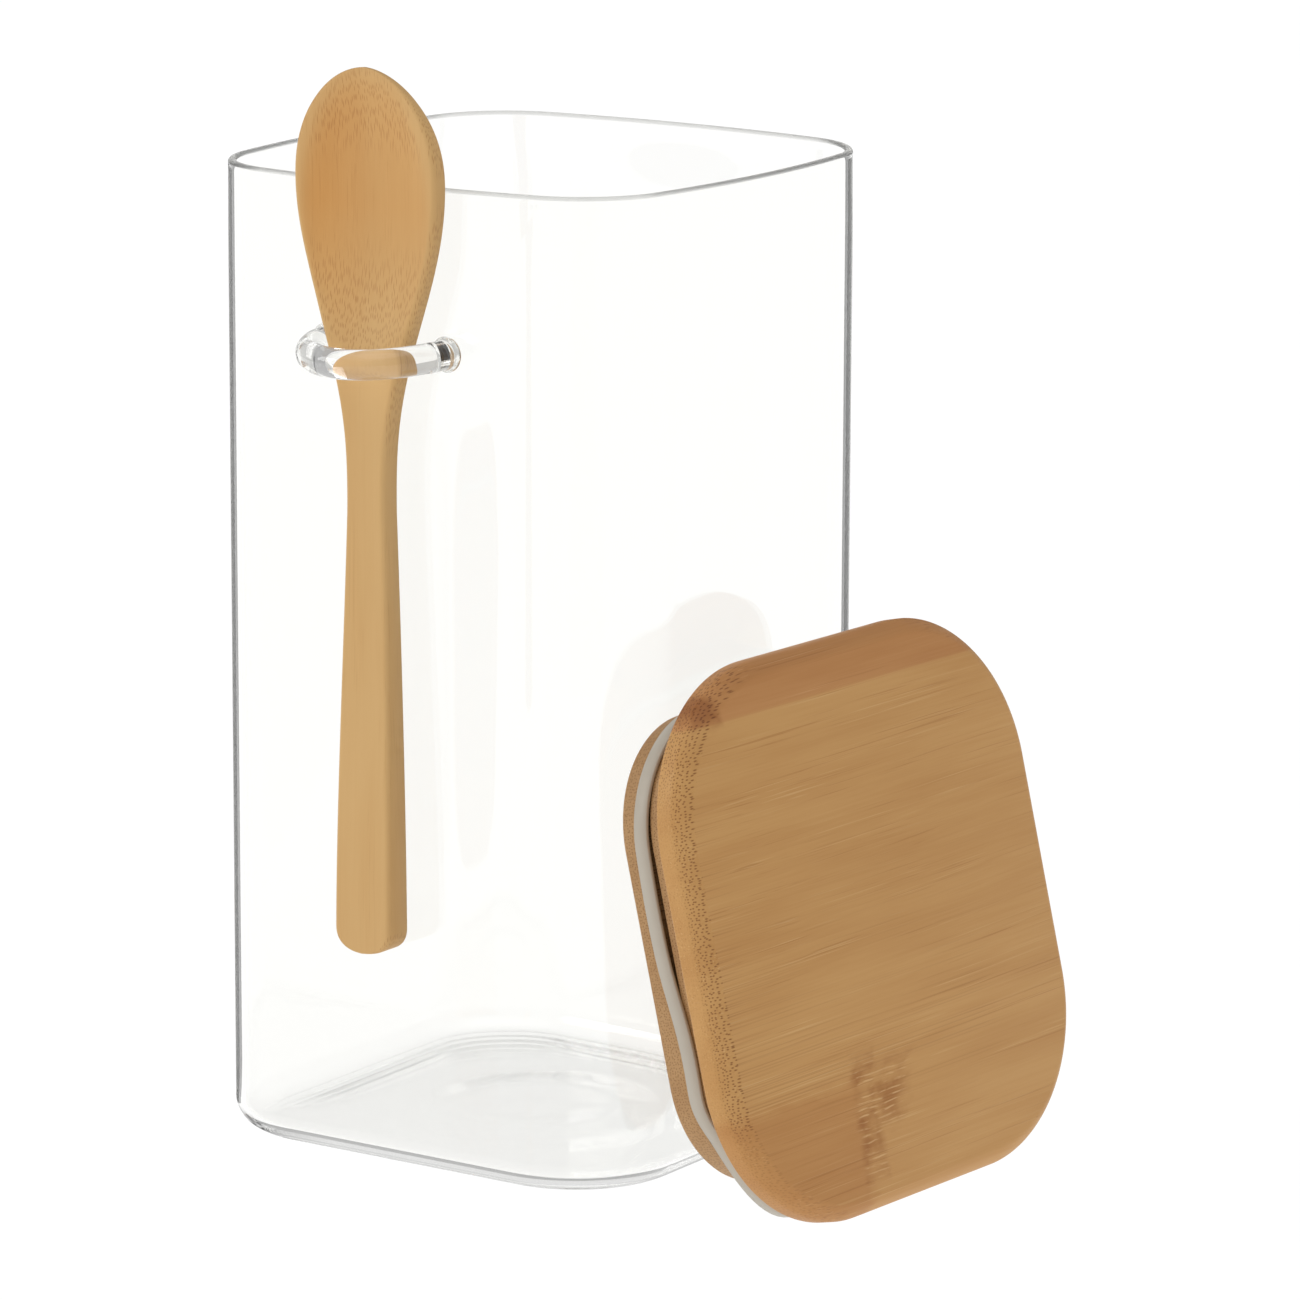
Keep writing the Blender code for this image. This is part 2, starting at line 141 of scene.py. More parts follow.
def maths(tree, operation, label, *values, clamp=False):
    """A Math node, as its output socket."""
    inputs = dict(enumerate(values))
    node = put(tree, "ShaderNodeMath", label, inputs, operation=operation, use_clamp=clamp)
    return node.outputs[0]


def vector_maths(tree, operation, label, *values, output="Vector"):
    """A Vector Math node, as one of its output sockets."""
    inputs = dict(enumerate(values))
    node = put(tree, "ShaderNodeVectorMath", label, inputs, operation=operation)
    return node.outputs[output]


def noise(tree, label, vector, scale, detail, roughness=0.5):
    """A Noise Texture node."""
    inputs = {"Vector": vector, "Scale": scale, "Detail": detail, "Roughness": roughness}
    return put(tree, "ShaderNodeTexNoise", label, inputs)


def mixed_colour(tree, label, share, first, second, blend="MIX"):
    """A Mix node for colours, as its output socket."""
    inputs = {0: share, 6: first, 7: second}
    node = put(tree, "ShaderNodeMix", label, inputs, data_type="RGBA", blend_type=blend)
    return node.outputs[2]


def mixed_shader(tree, label, share, first, second):
    """A Mix Shader node for two shader nodes, as its output socket."""
    inputs = {0: share, 1: first.outputs[0], 2: second.outputs[0]}
    return put(tree, "ShaderNodeMixShader", label, inputs).outputs[0]


def stepped(tree, label, value, low, high):
    """A smooth step from 0 at low to 1 at high, as an output socket."""
    inputs = {"Value": value, "From Min": low, "From Max": high}
    node = put(tree, "ShaderNodeMapRange", label, inputs, interpolation_type="SMOOTHSTEP")
    return node.outputs[0]


def new_group(name, inputs, outputs):
    """A shader node group with its sockets, and its input and output nodes."""
    group = bpy.data.node_groups.new(name, "ShaderNodeTree")
    for socket, kind, value in inputs:
        made = group.interface.new_socket(socket, in_out="INPUT", socket_type=kind)
        if value is not None:
            made.default_value = value
    for socket, kind in outputs:
        group.interface.new_socket(socket, in_out="OUTPUT", socket_type=kind)
    entry = group.nodes.new("NodeGroupInput")
    end = group.nodes.new("NodeGroupOutput")
    return group, entry.outputs, end


def new_material(name):
    """A material with nodes, given with its node tree and its Principled BSDF."""
    material = bpy.data.materials.new(name)
    material.use_nodes = True
    tree = material.node_tree
    return material, tree, tree.nodes["Principled BSDF"]


print("helpers ready")

# %% [markdown]
# ## Floor and light
# The photograph is a bright-field picture: glass stands in front of a pale surface that
# is lit evenly, so its faces vanish and only its edges draw dark lines. A wide white
# floor that glows, like a light table, does that here.

# %% Make the floor
FLOOR_SIDE = 14.0
FLOOR_GLOW = 1.0
FLOOR_SHEET = screen_colour(60, 60, 60)


def deselect_all():
    bpy.ops.object.select_all(action="DESELECT")


def new_stage_material(name):
    """A material without nodes, for a stage piece, given with its node tree."""
    material, tree, _ = new_material(name)
    tree.nodes.clear()
    return material, tree


deselect_all()
bpy.ops.mesh.primitive_plane_add(size=FLOOR_SIDE, location=(0, 0, 0))
floor = bpy.context.active_object
floor.name = "floor"

pale_floor, tree = new_stage_material("pale_floor")
sheet = put(tree, "ShaderNodeBsdfDiffuse", "matt sheet", {"Color": FLOOR_SHEET}).outputs[0]
light = put(tree, "ShaderNodeEmission", "lit from below", {"Strength": FLOOR_GLOW}).outputs[0]
both = put(tree, "ShaderNodeAddShader", "sheet and glow", {0: sheet, 1: light})
put(tree, "ShaderNodeOutputMaterial", "output", {"Surface": both.outputs[0]})
floor.data.materials.append(pale_floor)
print("floor", FLOOR_SIDE, "m square")

# %% [markdown]
# A photographer of glass often stands black cards behind it, just out of view, so that its
# outline turns into a dark line. The cards here do that, and are placed so that the lines
# fall where the photograph has them. They show only to a ray that the front wall has
# mirrored once, and all other rays pass them. Clear films level with the rim mark the
# rays that come from the rim, and those pass the cards too, because the rim looks light.

# %% Stand black cards behind the jar
CARD_AWAY = 0.085
CARD_FOOT = 0.0002
CARD_HEIGHT = 0.184
LEFT_CARD = (-0.0265, 0.0025)
RIGHT_CARD = (0.027, 0.051)
FLAP_NEAR = ((-0.0547, -0.0363), (-0.0524, -0.0330))
FILM_HEIGHT = 0.1908
LEFT_FILM = (-0.087, -0.039, -0.0455, 0.020)
RIGHT_FILM = (0.015, 0.041, 0.056, 0.087)
CARD_GLOW = 0.07


def first_mirroring(tree, path):
    """1 for a ray that was mirrored once and has passed one wall at most."""
    mirrored = maths(tree, "COMPARE", "mirrored once", path["Glossy Depth"], 1.0, 0.1)
    early = maths(tree, "LESS_THAN", "in the front wall", path["Transmission Depth"], 2.5)
    return maths(tree, "MULTIPLY", "first mirroring", mirrored, early)


def at_level(height, *points):
    """Points on the floor, raised to a height."""
    return [(*point, height) for point in points]


def panel(name, corners, material):
    """A thin flat stage piece with these four corners."""
    deselect_all()
    bpy.ops.mesh.primitive_circle_add(vertices=4, fill_type="NGON")
    made = bpy.context.active_object
    made.name = name
    for vert, corner in zip(made.data.vertices, corners):
        vert.co = corner
    made.data.materials.append(material)
    print(name, "reaches", [round(max(c[i] for c in corners), 3) for i in range(3)])


def card_material(name, glow, corner_glow=None, corner=(0, 0, 0), spread=0.02):
    """A card that only a mirrored ray sees. Its glow may be less near a corner."""
    material, tree = new_stage_material(name)
    path = light_path(tree)
    no_film = maths(tree, "LESS_THAN", "not from the rim", path["Transparent Depth"], 0.5)
    seen = maths(tree, "MULTIPLY", "shows to this ray", first_mirroring(tree, path), no_film)
    if corner_glow is not None:
        away = vector_maths(
            tree, "DISTANCE", "away from the corner", own_place(tree), corner, output="Value",
        )
        inputs = {"Value": away, "From Max": spread, "To Min": corner_glow, "To Max": glow}
        glow = put(tree, "ShaderNodeMapRange", "glow by distance", inputs).outputs[0]
    clear = put(tree, "ShaderNodeBsdfTransparent", "not there")
    black = put(tree, "ShaderNodeEmission", "black", {"Strength": glow})
    either = mixed_shader(tree, "card or nothing", seen, clear, black)
    put(tree, "ShaderNodeOutputMaterial", "output", {"Surface": either})
    return material


def standing_card(name, start, end):
    """A black card that stands on the floor between two points."""
    corners = at_level(CARD_FOOT, start, end) + at_level(CARD_HEIGHT, end, start)
    panel(name, corners, black_card)


black_card = card_material("black_card", CARD_GLOW)
clear_film, tree = new_stage_material("clear_film")
clear = put(tree, "ShaderNodeBsdfTransparent", "clear")
put(tree, "ShaderNodeOutputMaterial", "output", {"Surface": clear.outputs[0]})

start, end = [(-CARD_AWAY, y) for y in LEFT_CARD]
standing_card("left_card", start, end)
panel("left_flap", at_level(CARD_FOOT, start, *FLAP_NEAR, end), black_card)
standing_card("right_card", *[(x, CARD_AWAY) for x in RIGHT_CARD])
for name, (west, south, east, north) in (("left_film", LEFT_FILM), ("right_film", RIGHT_FILM)):
    outline = (west, south), (east, south), (east, north), (west, north)
    panel(name, at_level(FILM_HEIGHT, *outline), clear_film)

# %% [markdown]
# The room round the jar is an even, soft white, and two soft lamps shape the wood. A ray that the
# glass has mirrored once sees the room a little darker. That was set so that the mirrored room
# doesn't wash out the edges. Light is mirrored many times inside the rim, so a ray may bounce
# often before it is given up.

# %% Light the room
ROOM_GLOW = 0.72
ROOM_MIRRORED = 0.55
LAMP_AIM = Vector((0, 0, 0.1))
# Each lamp: its name, its place, its side and its power in watts.
LAMPS = (
    ("key_left", Vector((-1.5, -1.5, 1.2)), 1.0, 14.0),
    ("fill_top", Vector((0.3, -0.2, 2.0)), 1.6, 4.0),
)
GLASS_BOUNCES = 160
CLEAR_BOUNCES = 16

world = bpy.data.worlds.new("studio")
world.use_nodes = True
bpy.context.scene.world = world
tree = world.node_tree
tree.nodes.clear()
mirrored = first_mirroring(tree, light_path(tree))
inputs = {0: mirrored, 2: ROOM_GLOW, 3: ROOM_MIRRORED}
glow = put(tree, "ShaderNodeMix", "glow for this ray", inputs, data_type="FLOAT")
light = put(tree, "ShaderNodeBackground", "soft white room", {"Strength": glow.outputs[0]})
put(tree, "ShaderNodeOutputWorld", "output", {"Surface": light.outputs[0]})

for name, place, side, power in LAMPS:
    lamp_data = bpy.data.lights.new(name, "AREA")
    lamp_data.size = side
    lamp_data.energy = power
    lamp = bpy.data.objects.new(name, lamp_data)
    bpy.context.scene.collection.objects.link(lamp)
    lamp.location = place
    lamp.rotation_euler = (place - LAMP_AIM).to_track_quat("Z", "Y").to_euler()

scene = bpy.context.scene
scene.view_settings.view_transform = "Standard"
scene.cycles.max_bounces = GLASS_BOUNCES
scene.cycles.transmission_bounces = GLASS_BOUNCES
scene.cycles.glossy_bounces = GLASS_BOUNCES
scene.cycles.transparent_max_bounces = CLEAR_BOUNCES

# %% [markdown]
# ## One way to build a skin
# The jar, the spoon, the rod and the seal are all smooth skins through a row of sections.
# By hand, you would draw the first section, extrude it, and pull each new loop into place.
# This helper does the same: a circle primitive with one point for each point of a
# section, extruded once for each section, each loop moved onto its own section.

# %% A helper that extrudes a loop through sections
MERGE_DISTANCE = 0.000001
SHARP_ANGLE = math.radians(50)


def place_loop(piece, points):
    """Moves the selected loop of a piece that is in edit mode onto these points."""
    skin = bmesh.from_edit_mesh(piece.data)
    order = skin.verts.layers.int["order"]
    for vert in skin.verts:
        if vert.select:
            vert.co = points[vert[order]]
    bmesh.update_edit_mesh(piece.data)


def extruded_skin(name, sections, closed=False):
    """A skin through sections of equal length, with a face at each end. A closed one has
    no ends, because its last section is its first."""
    deselect_all()
    bpy.ops.mesh.primitive_circle_add(vertices=len(sections[0]), radius=1, fill_type="NGON")
    piece = bpy.context.active_object
    piece.name = name
    piece.data.name = name
    order = piece.data.attributes.new("order", "INT", "POINT")
    order.data.foreach_set("value", range(len(sections[0])))
    bpy.ops.object.mode_set(mode="EDIT")
    bpy.ops.mesh.select_all(action="SELECT")
    place_loop(piece, sections[0])
    for points in sections[1:]:
        bpy.ops.mesh.extrude_region_move()
        place_loop(piece, points)
    if closed:
        # Only the faces at the ends have more than four corners.
        ends = bmesh.from_edit_mesh(piece.data)
        for face in ends.faces:
            face.select = len(face.verts) > 4
        bmesh.update_edit_mesh(piece.data)
        bpy.ops.mesh.delete(type="ONLY_FACE")
    bpy.ops.mesh.select_all(action="SELECT")
    bpy.ops.mesh.remove_doubles(threshold=MERGE_DISTANCE)
    bpy.ops.mesh.normals_make_consistent(inside=False)
    bpy.ops.object.mode_set(mode="OBJECT")
    bpy.ops.object.shade_smooth_by_angle(angle=SHARP_ANGLE)
    piece.data.attributes.remove(piece.data.attributes["order"])
    return piece


print("skin helper ready")

# %% [markdown]
# ## The jar
# The real jar is blown from one gob of borosilicate glass: a square with round corners,
# a thicker floor, and a rim that was cut and melted round in a flame. The melting pulls
# the corners in and lets the sides of the mouth bow out, so the rim isn't a true square.
# Its outline is one function of height, and the same outline, moved inwards, is the
# inner wall. Glass needs both walls, because a ray has to bend at each.

# %% Sizes of the jar
JAR_SIDE = 0.100
JAR_HEIGHT = 0.192
JAR_CORNER_RADIUS = 0.0233
GLASS_WALL = 0.0016
GLASS_FLOOR = 0.0018
FOOT_RADIUS = 0.0057
MOUTH_DRAW_IN = 0.0009
MOUTH_CORNER_RADIUS = 0.0204
MOUTH_BOW = 0.0021
MOUTH_BLEND_HEIGHT = 0.016
LIP_HEIGHT = 0.0008
CORNER_STEPS = 28
SIDE_STEPS = 14
STRAIGHT_TURN = 0.000001


def eased(first, second, share):
    """Goes smoothly from the first value to the second as the share goes from 0 to 1."""
    share = min(max(share, 0.0), 1.0)
    return first + (second - first) * share * share * (3 - 2 * share)


def rounded_square(half, corner, bow):
    """Points round a square with round corners whose sides bow out by bow."""
    centre = half - corner
    turn = 2 * math.atan2(bow, centre)
    side_end = centre + corner * math.sin(turn)
    points = []
    for quarter in range(4):
        stretch = []
        for step in range(SIDE_STEPS):
            along = -1 + 2 * step / SIDE_STEPS
            sag = 0.0
            if turn > STRAIGHT_TURN:
                bend = side_end / math.sin(turn)
                sag = bend - math.sqrt(bend**2 - (along * side_end) ** 2)
            stretch.append((half + bow - sag, along * side_end))
        for step in range(CORNER_STEPS):
            angle = turn + (math.pi / 2 - 2 * turn) * step / CORNER_STEPS
            stretch.append((centre + corner * math.cos(angle), centre + corner * math.sin(angle)))
        rotation = Matrix.Rotation(quarter * math.pi / 2, 2)
        points += [rotation @ Vector(point) for point in stretch]
    return points


def jar_loop(height, offset):
    """The jar's outline at a height, moved out by offset."""
    start = JAR_HEIGHT - LIP_HEIGHT - MOUTH_BLEND_HEIGHT
    share = (height - start) / MOUTH_BLEND_HEIGHT
    half = eased(JAR_SIDE / 2, JAR_SIDE / 2 - MOUTH_DRAW_IN, share)
    corner = eased(JAR_CORNER_RADIUS, MOUTH_CORNER_RADIUS, share)
    bow = eased(0.0, MOUTH_BOW, share)
    outline = rounded_square(half + offset, corner + offset, bow)
    return [Vector((x, y, height)) for x, y in outline]


print("outline has", len(jar_loop(0.0, 0.0)), "points")

# %% [markdown]
# The floor of a blown jar is never flat. The photograph shows soft grey curves through the
# base, which are taken here for faint rings where the glass sinks in from a thicker
# foot towards the middle. So the inner floor gets a few shallow waves.

# %% Build the jar
FLOOR_RINGS = 46
FLOOR_SWELL = 0.0004
FLOOR_WAVE = 0.00010
FLOOR_WAVE_RADIANS = 14
FLOOR_ROUNDING = 2.2
ALMOST_ROUND = 0.99
UNDER_HOLLOW = 0.0004
FOOT_RIPPLE = 0.00012
FOOT_LOOPS = 24
WALL_LOOPS = 10
MOUTH_LOOPS = 18
LIP_LOOPS = 18


def floor_loops(half, corner, shape):
    """Loops that shrink from a rounded square to a small circle in the middle of the floor."""
    loops = []
    for step in range(FLOOR_RINGS):
        share = 1 - step / FLOOR_RINGS
        roundness = eased(corner / half, ALMOST_ROUND, FLOOR_ROUNDING * (1 - share))
        outline = rounded_square(half * share, roundness * half * share, 0.0)
        loops.append([Vector((x, y, shape(share))) for x, y in outline])
    return loops


def under_height(share):
    """How high the underside is, from the middle at 0 to the foot at 1."""
    return UNDER_HOLLOW * (1 - share**4) ** 2


def inner_height(share):
    """How high the inner floor is, from the middle at 0 to the foot at 1."""
    swell = FLOOR_SWELL * share**6
    wave = FLOOR_WAVE * math.sin(FLOOR_WAVE_RADIANS * share) * math.sin(math.pi * share)
    return GLASS_FLOOR + swell - FLOOR_SWELL + wave


def foot_loops(floor_height, radius, offset, ripple=0.0):
    """The round from the floor up to the wall, with a soft ripple where the glass thickens."""
    loops = []
    for step in range(FOOT_LOOPS + 1):
        angle = math.pi / 2 * step / FOOT_LOOPS
        height = floor_height + radius * (1 - math.cos(angle))
        swell = ripple * math.sin(3 * angle) ** 2
        loops.append(jar_loop(height, offset - radius * (1 - math.sin(angle)) - swell))
    return loops


def wall_loops(bottom, offset):
    """The straight wall, then the part that bends into the mouth."""
    start = JAR_HEIGHT - LIP_HEIGHT - MOUTH_BLEND_HEIGHT
    heights = [bottom + (start - bottom) * step / WALL_LOOPS for step in range(1, WALL_LOOPS)]
    heights += [start + MOUTH_BLEND_HEIGHT * step / MOUTH_LOOPS for step in range(MOUTH_LOOPS)]
    return [jar_loop(height, offset) for height in heights]


def lip_loops():
    """The melted rim, round from the outside over to the inside of the wall."""
    loops = []
    for step in range(LIP_LOOPS + 1):
        angle = math.pi * step / LIP_LOOPS
        height = JAR_HEIGHT - LIP_HEIGHT * (1 - math.sin(angle))
        loops.append(jar_loop(height, -GLASS_WALL / 2 * (1 - math.cos(angle))))
    return loops


inner_radius = FOOT_RADIUS - GLASS_WALL
flat_half = JAR_SIDE / 2 - FOOT_RADIUS
flat_corner = JAR_CORNER_RADIUS - FOOT_RADIUS
outside = floor_loops(flat_half, flat_corner, under_height)[:0:-1]
outside += foot_loops(0.0, FOOT_RADIUS, 0.0)
outside += wall_loops(FOOT_RADIUS, 0.0)
inside = floor_loops(flat_half, flat_corner, inner_height)[:0:-1]
inside += foot_loops(GLASS_FLOOR, inner_radius, -GLASS_WALL, FOOT_RIPPLE)
inside += wall_loops(GLASS_FLOOR + inner_radius, -GLASS_WALL)
jar = extruded_skin("blown_jar", outside + lip_loops() + inside[::-1])
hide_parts("glass_jar")
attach(jar, "jar")
print("jar:", len(jar.data.polygons), "faces")

# %% [markdown]
# Just inside the foot the photograph shows a thin grey line and a softer shade beside it, both
# darkest at the left corner. Both are painted shade: two flat dark rings on the floor bring them
# in. Like the cards, they show only to a ray that the glass has mirrored once.

# %% Shade the floor under the foot
LEFT_CORNER = (-0.0470, -0.0405, 0.0)
SHADE_HEIGHT = 0.0001
# Each shade: its name, its inner and outer half side, its glow, and at the left corner
# the glow that it falls to and how far from there it does.
FOOT_SHADES = (
    ("foot_shade_line", 0.0466, 0.0482, 0.40, 0.08, 0.022),
    ("foot_shade", 0.0445, 0.0466, 0.74, 0.40, 0.030),
)

for name, inner, outer, glow, corner_glow, spread in FOOT_SHADES:
    sections = []
    for half in (inner, outer):
        outline = rounded_square(half, half - JAR_SIDE / 2 + JAR_CORNER_RADIUS, 0.0)
        sections.append([Vector((x, y, SHADE_HEIGHT)) for x, y in outline])
    grey = card_material(name + "_grey", glow, corner_glow, LEFT_CORNER, spread)
    shade = extruded_skin(name, sections, closed=True)
    shade.data.materials.append(grey)
    print(name, "has", len(shade.data.polygons), "faces")

# %% [markdown]
# ## The spoon
# The spoon is cut from a flat bamboo blank, its bowl scooped out with a ball cutter, and
# then sanded. A section across it is a rounded rectangle, and in the bowl its front side
# dips. So the spoon is a skin through many such sections, from the tip of the bowl to the
# end of the handle, close together at both ends, where the outline turns fast.

# %% Sizes of the spoon
ROD_DIAMETER = 0.0058
RING_BELOW_RIM = 0.0315
RING_REACH = 0.0158
RING_OFFSET = -0.0012
RING_DROP = 0.0009
TOUCH_GAP = 0.0003
SPOON_LENGTH = 0.1696
SPOON_SEAT_DISTANCE = 0.0536
BOWL_WIDTH = 0.0328
BOWL_SWAY = -0.0006
BOWL_WIDEST = 0.0215
BOWL_TIP_ROUND = (2.2, 0.56)
BOWL_TAPER = 3.4
BOWL_THICKNESS = 0.0040
BOWL_TIP_RISE = 0.0030
BOWL_TIP_LENGTH = 0.022
NECK_WIDTH = 0.0090
NECK_DISTANCE = 0.084
NECK_THICKNESS = 0.0050
HANDLE_END_WIDTH = 0.0131
HANDLE_END_THICKNESS = 0.0066
HANDLE_END_ROUND = 0.0050
HANDLE_END_ROUNDNESS = 2.5
HANDLE_FLARE = 1.6
HOLLOW_DEPTH = 0.0026
HOLLOW_RIM = 0.0015
HOLLOW_LENGTH = 0.052
HOLLOW_MIDDLE = HOLLOW_RIM + HOLLOW_LENGTH / 2
HOLLOW_SOFTNESS = 0.0005
SPOON_EDGE = 0.0011
SPOON_STATIONS = 150


def spoon_half_width(distance):
    """Half the spoon's width at a distance down from its top."""
    bowl, neck, end = BOWL_WIDTH / 2, NECK_WIDTH / 2, HANDLE_END_WIDTH / 2
    if distance < BOWL_WIDEST:
        inner, outer = BOWL_TIP_ROUND
        return bowl * (1 - (1 - distance / BOWL_WIDEST) ** inner) ** outer
    if distance < NECK_DISTANCE:
        share = (distance - BOWL_WIDEST) / (NECK_DISTANCE - BOWL_WIDEST)
        return neck + (bowl - neck) * (1 - share**2) ** BOWL_TAPER
    share = (distance - NECK_DISTANCE) / (SPOON_LENGTH - NECK_DISTANCE)
    width = neck + (end - neck) * (1 - (1 - share) ** HANDLE_FLARE)
    past = (distance - SPOON_LENGTH + HANDLE_END_ROUND) / HANDLE_END_ROUND
    if past > 0:
        width *= max(1 - past**HANDLE_END_ROUNDNESS, 0.0) ** (1 / HANDLE_END_ROUNDNESS)
    return width


def spoon_thickness(distance):
    if distance < NECK_DISTANCE:
        return eased(BOWL_THICKNESS, NECK_THICKNESS, distance / NECK_DISTANCE)
    share = (distance - NECK_DISTANCE) / (SPOON_LENGTH - NECK_DISTANCE)
    return eased(NECK_THICKNESS, HANDLE_END_THICKNESS, share)


def spoon_back(distance):
    """How far the back rises towards the tip of the bowl."""
    return BOWL_TIP_RISE * max(1 - distance / BOWL_TIP_LENGTH, 0.0) ** 2


def spoon_middle(distance):
    """Where the spoon's middle line is. The bowl was cut a little to one side."""
    return RING_OFFSET + eased(BOWL_SWAY, 0.0, distance / NECK_DISTANCE)


def hollow_depth(across, distance):
    """How deep the ball cutter went, softened where it left the face."""
    # The cutter leaves the face where spread is 3/4, so that 2 * sqrt(1 - spread) is 1.
    footprint = math.sqrt(0.75)
    half_length = HOLLOW_LENGTH / 2 / footprint
    half_width = (BOWL_WIDTH / 2 - HOLLOW_RIM) / footprint
    spread = (across / half_width) ** 2 + ((distance - HOLLOW_MIDDLE) / half_length) ** 2
    depth = HOLLOW_DEPTH * (2 * math.sqrt(max(1 - spread, 0.0)) - 1)
    depth -= max(spread - 1, 0) * HOLLOW_DEPTH
    return (depth + math.sqrt(depth**2 + HOLLOW_SOFTNESS**2)) / 2


print("bowl is", round(1000 * hollow_depth(0, HOLLOW_MIDDLE), 2), "mm deep")

# %% Build the spoon
FRONT_POINTS = 44
EDGE_POINTS = 8
SMALLEST_HALF_WIDTH = 0.00002
EDGE_SHARE_OF_WIDTH = 0.98
EDGE_SHARE_OF_THICKNESS = 0.45
STATION_CROWDING = 0.97


def spoon_section(distance, top, back_face):
    """The loop of points round the spoon at one distance from its top."""
    half = max(spoon_half_width(distance), SMALLEST_HALF_WIDTH)
    front, back = spoon_thickness(distance), spoon_back(distance)
    thickness = front - back
    reach = min(
        SPOON_EDGE, half * EDGE_SHARE_OF_WIDTH, thickness * EDGE_SHARE_OF_THICKNESS,
    )
    flat = half - reach
    loop = []
    for step in range(FRONT_POINTS + 1):
        across = flat * (2 * step / FRONT_POINTS - 1)
        loop.append((across, front - hollow_depth(across, distance)))
    rim = front - hollow_depth(flat, distance)
    for step in range(1, EDGE_POINTS):
        angle = math.pi / 2 * (1 - step / EDGE_POINTS)
        loop.append((flat + reach * math.cos(angle), rim - reach * (1 - math.sin(angle))))
    for step in range(1, EDGE_POINTS + 1):
        angle = math.pi / 2 * step / EDGE_POINTS
        loop.append((flat + reach * math.cos(angle), back + reach * (1 - math.sin(angle))))
    other_side = [(-across, depth) for across, depth in reversed(loop[FRONT_POINTS + 1:])]
    loop += [(flat * (1 - 2 * step / FRONT_POINTS), back) for step in range(1, FRONT_POINTS)]
    loop += other_side
    middle = spoon_middle(distance)
    return [Vector((middle + x, back_face - y, top - distance)) for x, y in loop]


# The frame's spoon hangs clear of a bead round the rim, and this one hangs in its place.
FRAME_RIM_BEAD = 0.0005
lip_face = JAR_SIDE / 2 - MOUTH_DRAW_IN + MOUTH_BOW + FRAME_RIM_BEAD
spoon_top = JAR_HEIGHT - RING_BELOW_RIM + SPOON_SEAT_DISTANCE
sections = []
for step in range(SPOON_STATIONS + 1):
    share = step / SPOON_STATIONS
    crowding = STATION_CROWDING * math.sin(2 * math.pi * share) / (2 * math.pi)
    distance = SPOON_LENGTH * (share - crowding)
    sections.append(spoon_section(distance, spoon_top, -lip_face - TOUCH_GAP))
spoon = extruded_skin("bamboo_spoon", sections)
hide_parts("spoon")
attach(spoon, "spoon")
print("spoon:", len(spoon.data.polygons), "faces, top at", round(spoon_top, 4))

# %% [markdown]
# ## The ring that holds the spoon
# A lampworker bends a hot glass rod into a loop and presses its two ends onto the wall,
# where they spread into small collars. The rod is a skin through round sections along
# a curve. The sections grow near the wall, as the soft glass did.

# %% Build the glass ring
RING_HALF_WIDTH = 0.01388
RING_WIDTH_SHARES = (1.0, 1.0, 0.67, 0.0)
RING_REACH_SHARES = (0.0, 0.36, 1.0, 1.0)
RING_DROP_SHARES = (0.0, 0.0, 1.0, 1.0)
RING_STATIONS = 40
ROD_POINTS = 36
FUSED_DEPTH = 0.0004
COLLAR_SPREAD = 0.12
COLLAR_LENGTH = 0.0016
UPWARDS = Vector((0, 0, 1))


def bezier(values, share):
    """A value on a cubic curve that is drawn with four values, as its share goes from 0 to 1."""
    a, b, c, d = values
    rest = 1 - share
    return a * rest**3 + 3 * b * rest**2 * share + 3 * c * rest * share**2 + d * share**3


def ring_line(side, share):
    """A point on the rod's centre line, from the wall at 0 to the front at 1."""
    wall = -JAR_SIDE / 2 + FUSED_DEPTH
    return Vector((
        RING_OFFSET + side * RING_HALF_WIDTH * bezier(RING_WIDTH_SHARES, share),
        wall - RING_REACH * bezier(RING_REACH_SHARES, share),
        JAR_HEIGHT - RING_BELOW_RIM - RING_DROP * bezier(RING_DROP_SHARES, share),
    ))


line = [ring_line(-1, step / RING_STATIONS) for step in range(RING_STATIONS + 1)]
line += [ring_line(1, 1 - step / RING_STATIONS) for step in range(1, RING_STATIONS + 1)]
sections = []
for number, centre in enumerate(line):
    ahead = line[min(number + 1, len(line) - 1)] - line[max(number - 1, 0)]
    across = ahead.cross(UPWARDS).normalized()
    raised = across.cross(ahead).normalized()
    from_wall = -JAR_SIDE / 2 - centre.y
    spread = 1 + COLLAR_SPREAD * max(1 - from_wall / COLLAR_LENGTH, 0.0) ** 2
    radius = ROD_DIAMETER / 2 * spread
    turns = [2 * math.pi * step / ROD_POINTS for step in range(ROD_POINTS)]
    sections.append([
        centre + across * radius * math.cos(turn) + raised * radius * math.sin(turn)
        for turn in turns
    ])
ring = extruded_skin("bent_rod", sections)
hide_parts("spoon_ring")
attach(ring, "jar")
print("ring:", len(ring.data.polygons), "faces")

# %% [markdown]
# ## The lid
# The lid is two bamboo boards glued together: a cap with softly rounded edges, and a
# thicker plug that goes into the mouth. A groove round the plug holds the seal. Each
# board is modelled lying flat, as on a bench, and then stood on its edge at the very
# place where the frame has it.

# %% Where the lid stands
LID_LEAN = math.radians(13.4)
LID_TURN = math.radians(-5.3)
LID_ROLL = math.radians(0.8)
LID_MIDDLE = Vector((0.0843526, -0.0072, 0.0538441))

upright = Matrix(((0, 0, 1), (1, 0, 0), (0, 1, 0)))
turned = Matrix.Rotation(LID_TURN, 3, "Z") @ Matrix.Rotation(-LID_LEAN, 3, "Y")
lid_rotation = (turned @ upright @ Matrix.Rotation(LID_ROLL, 3, "Z")).to_4x4()
lid_place = Matrix.Translation(LID_MIDDLE) @ lid_rotation


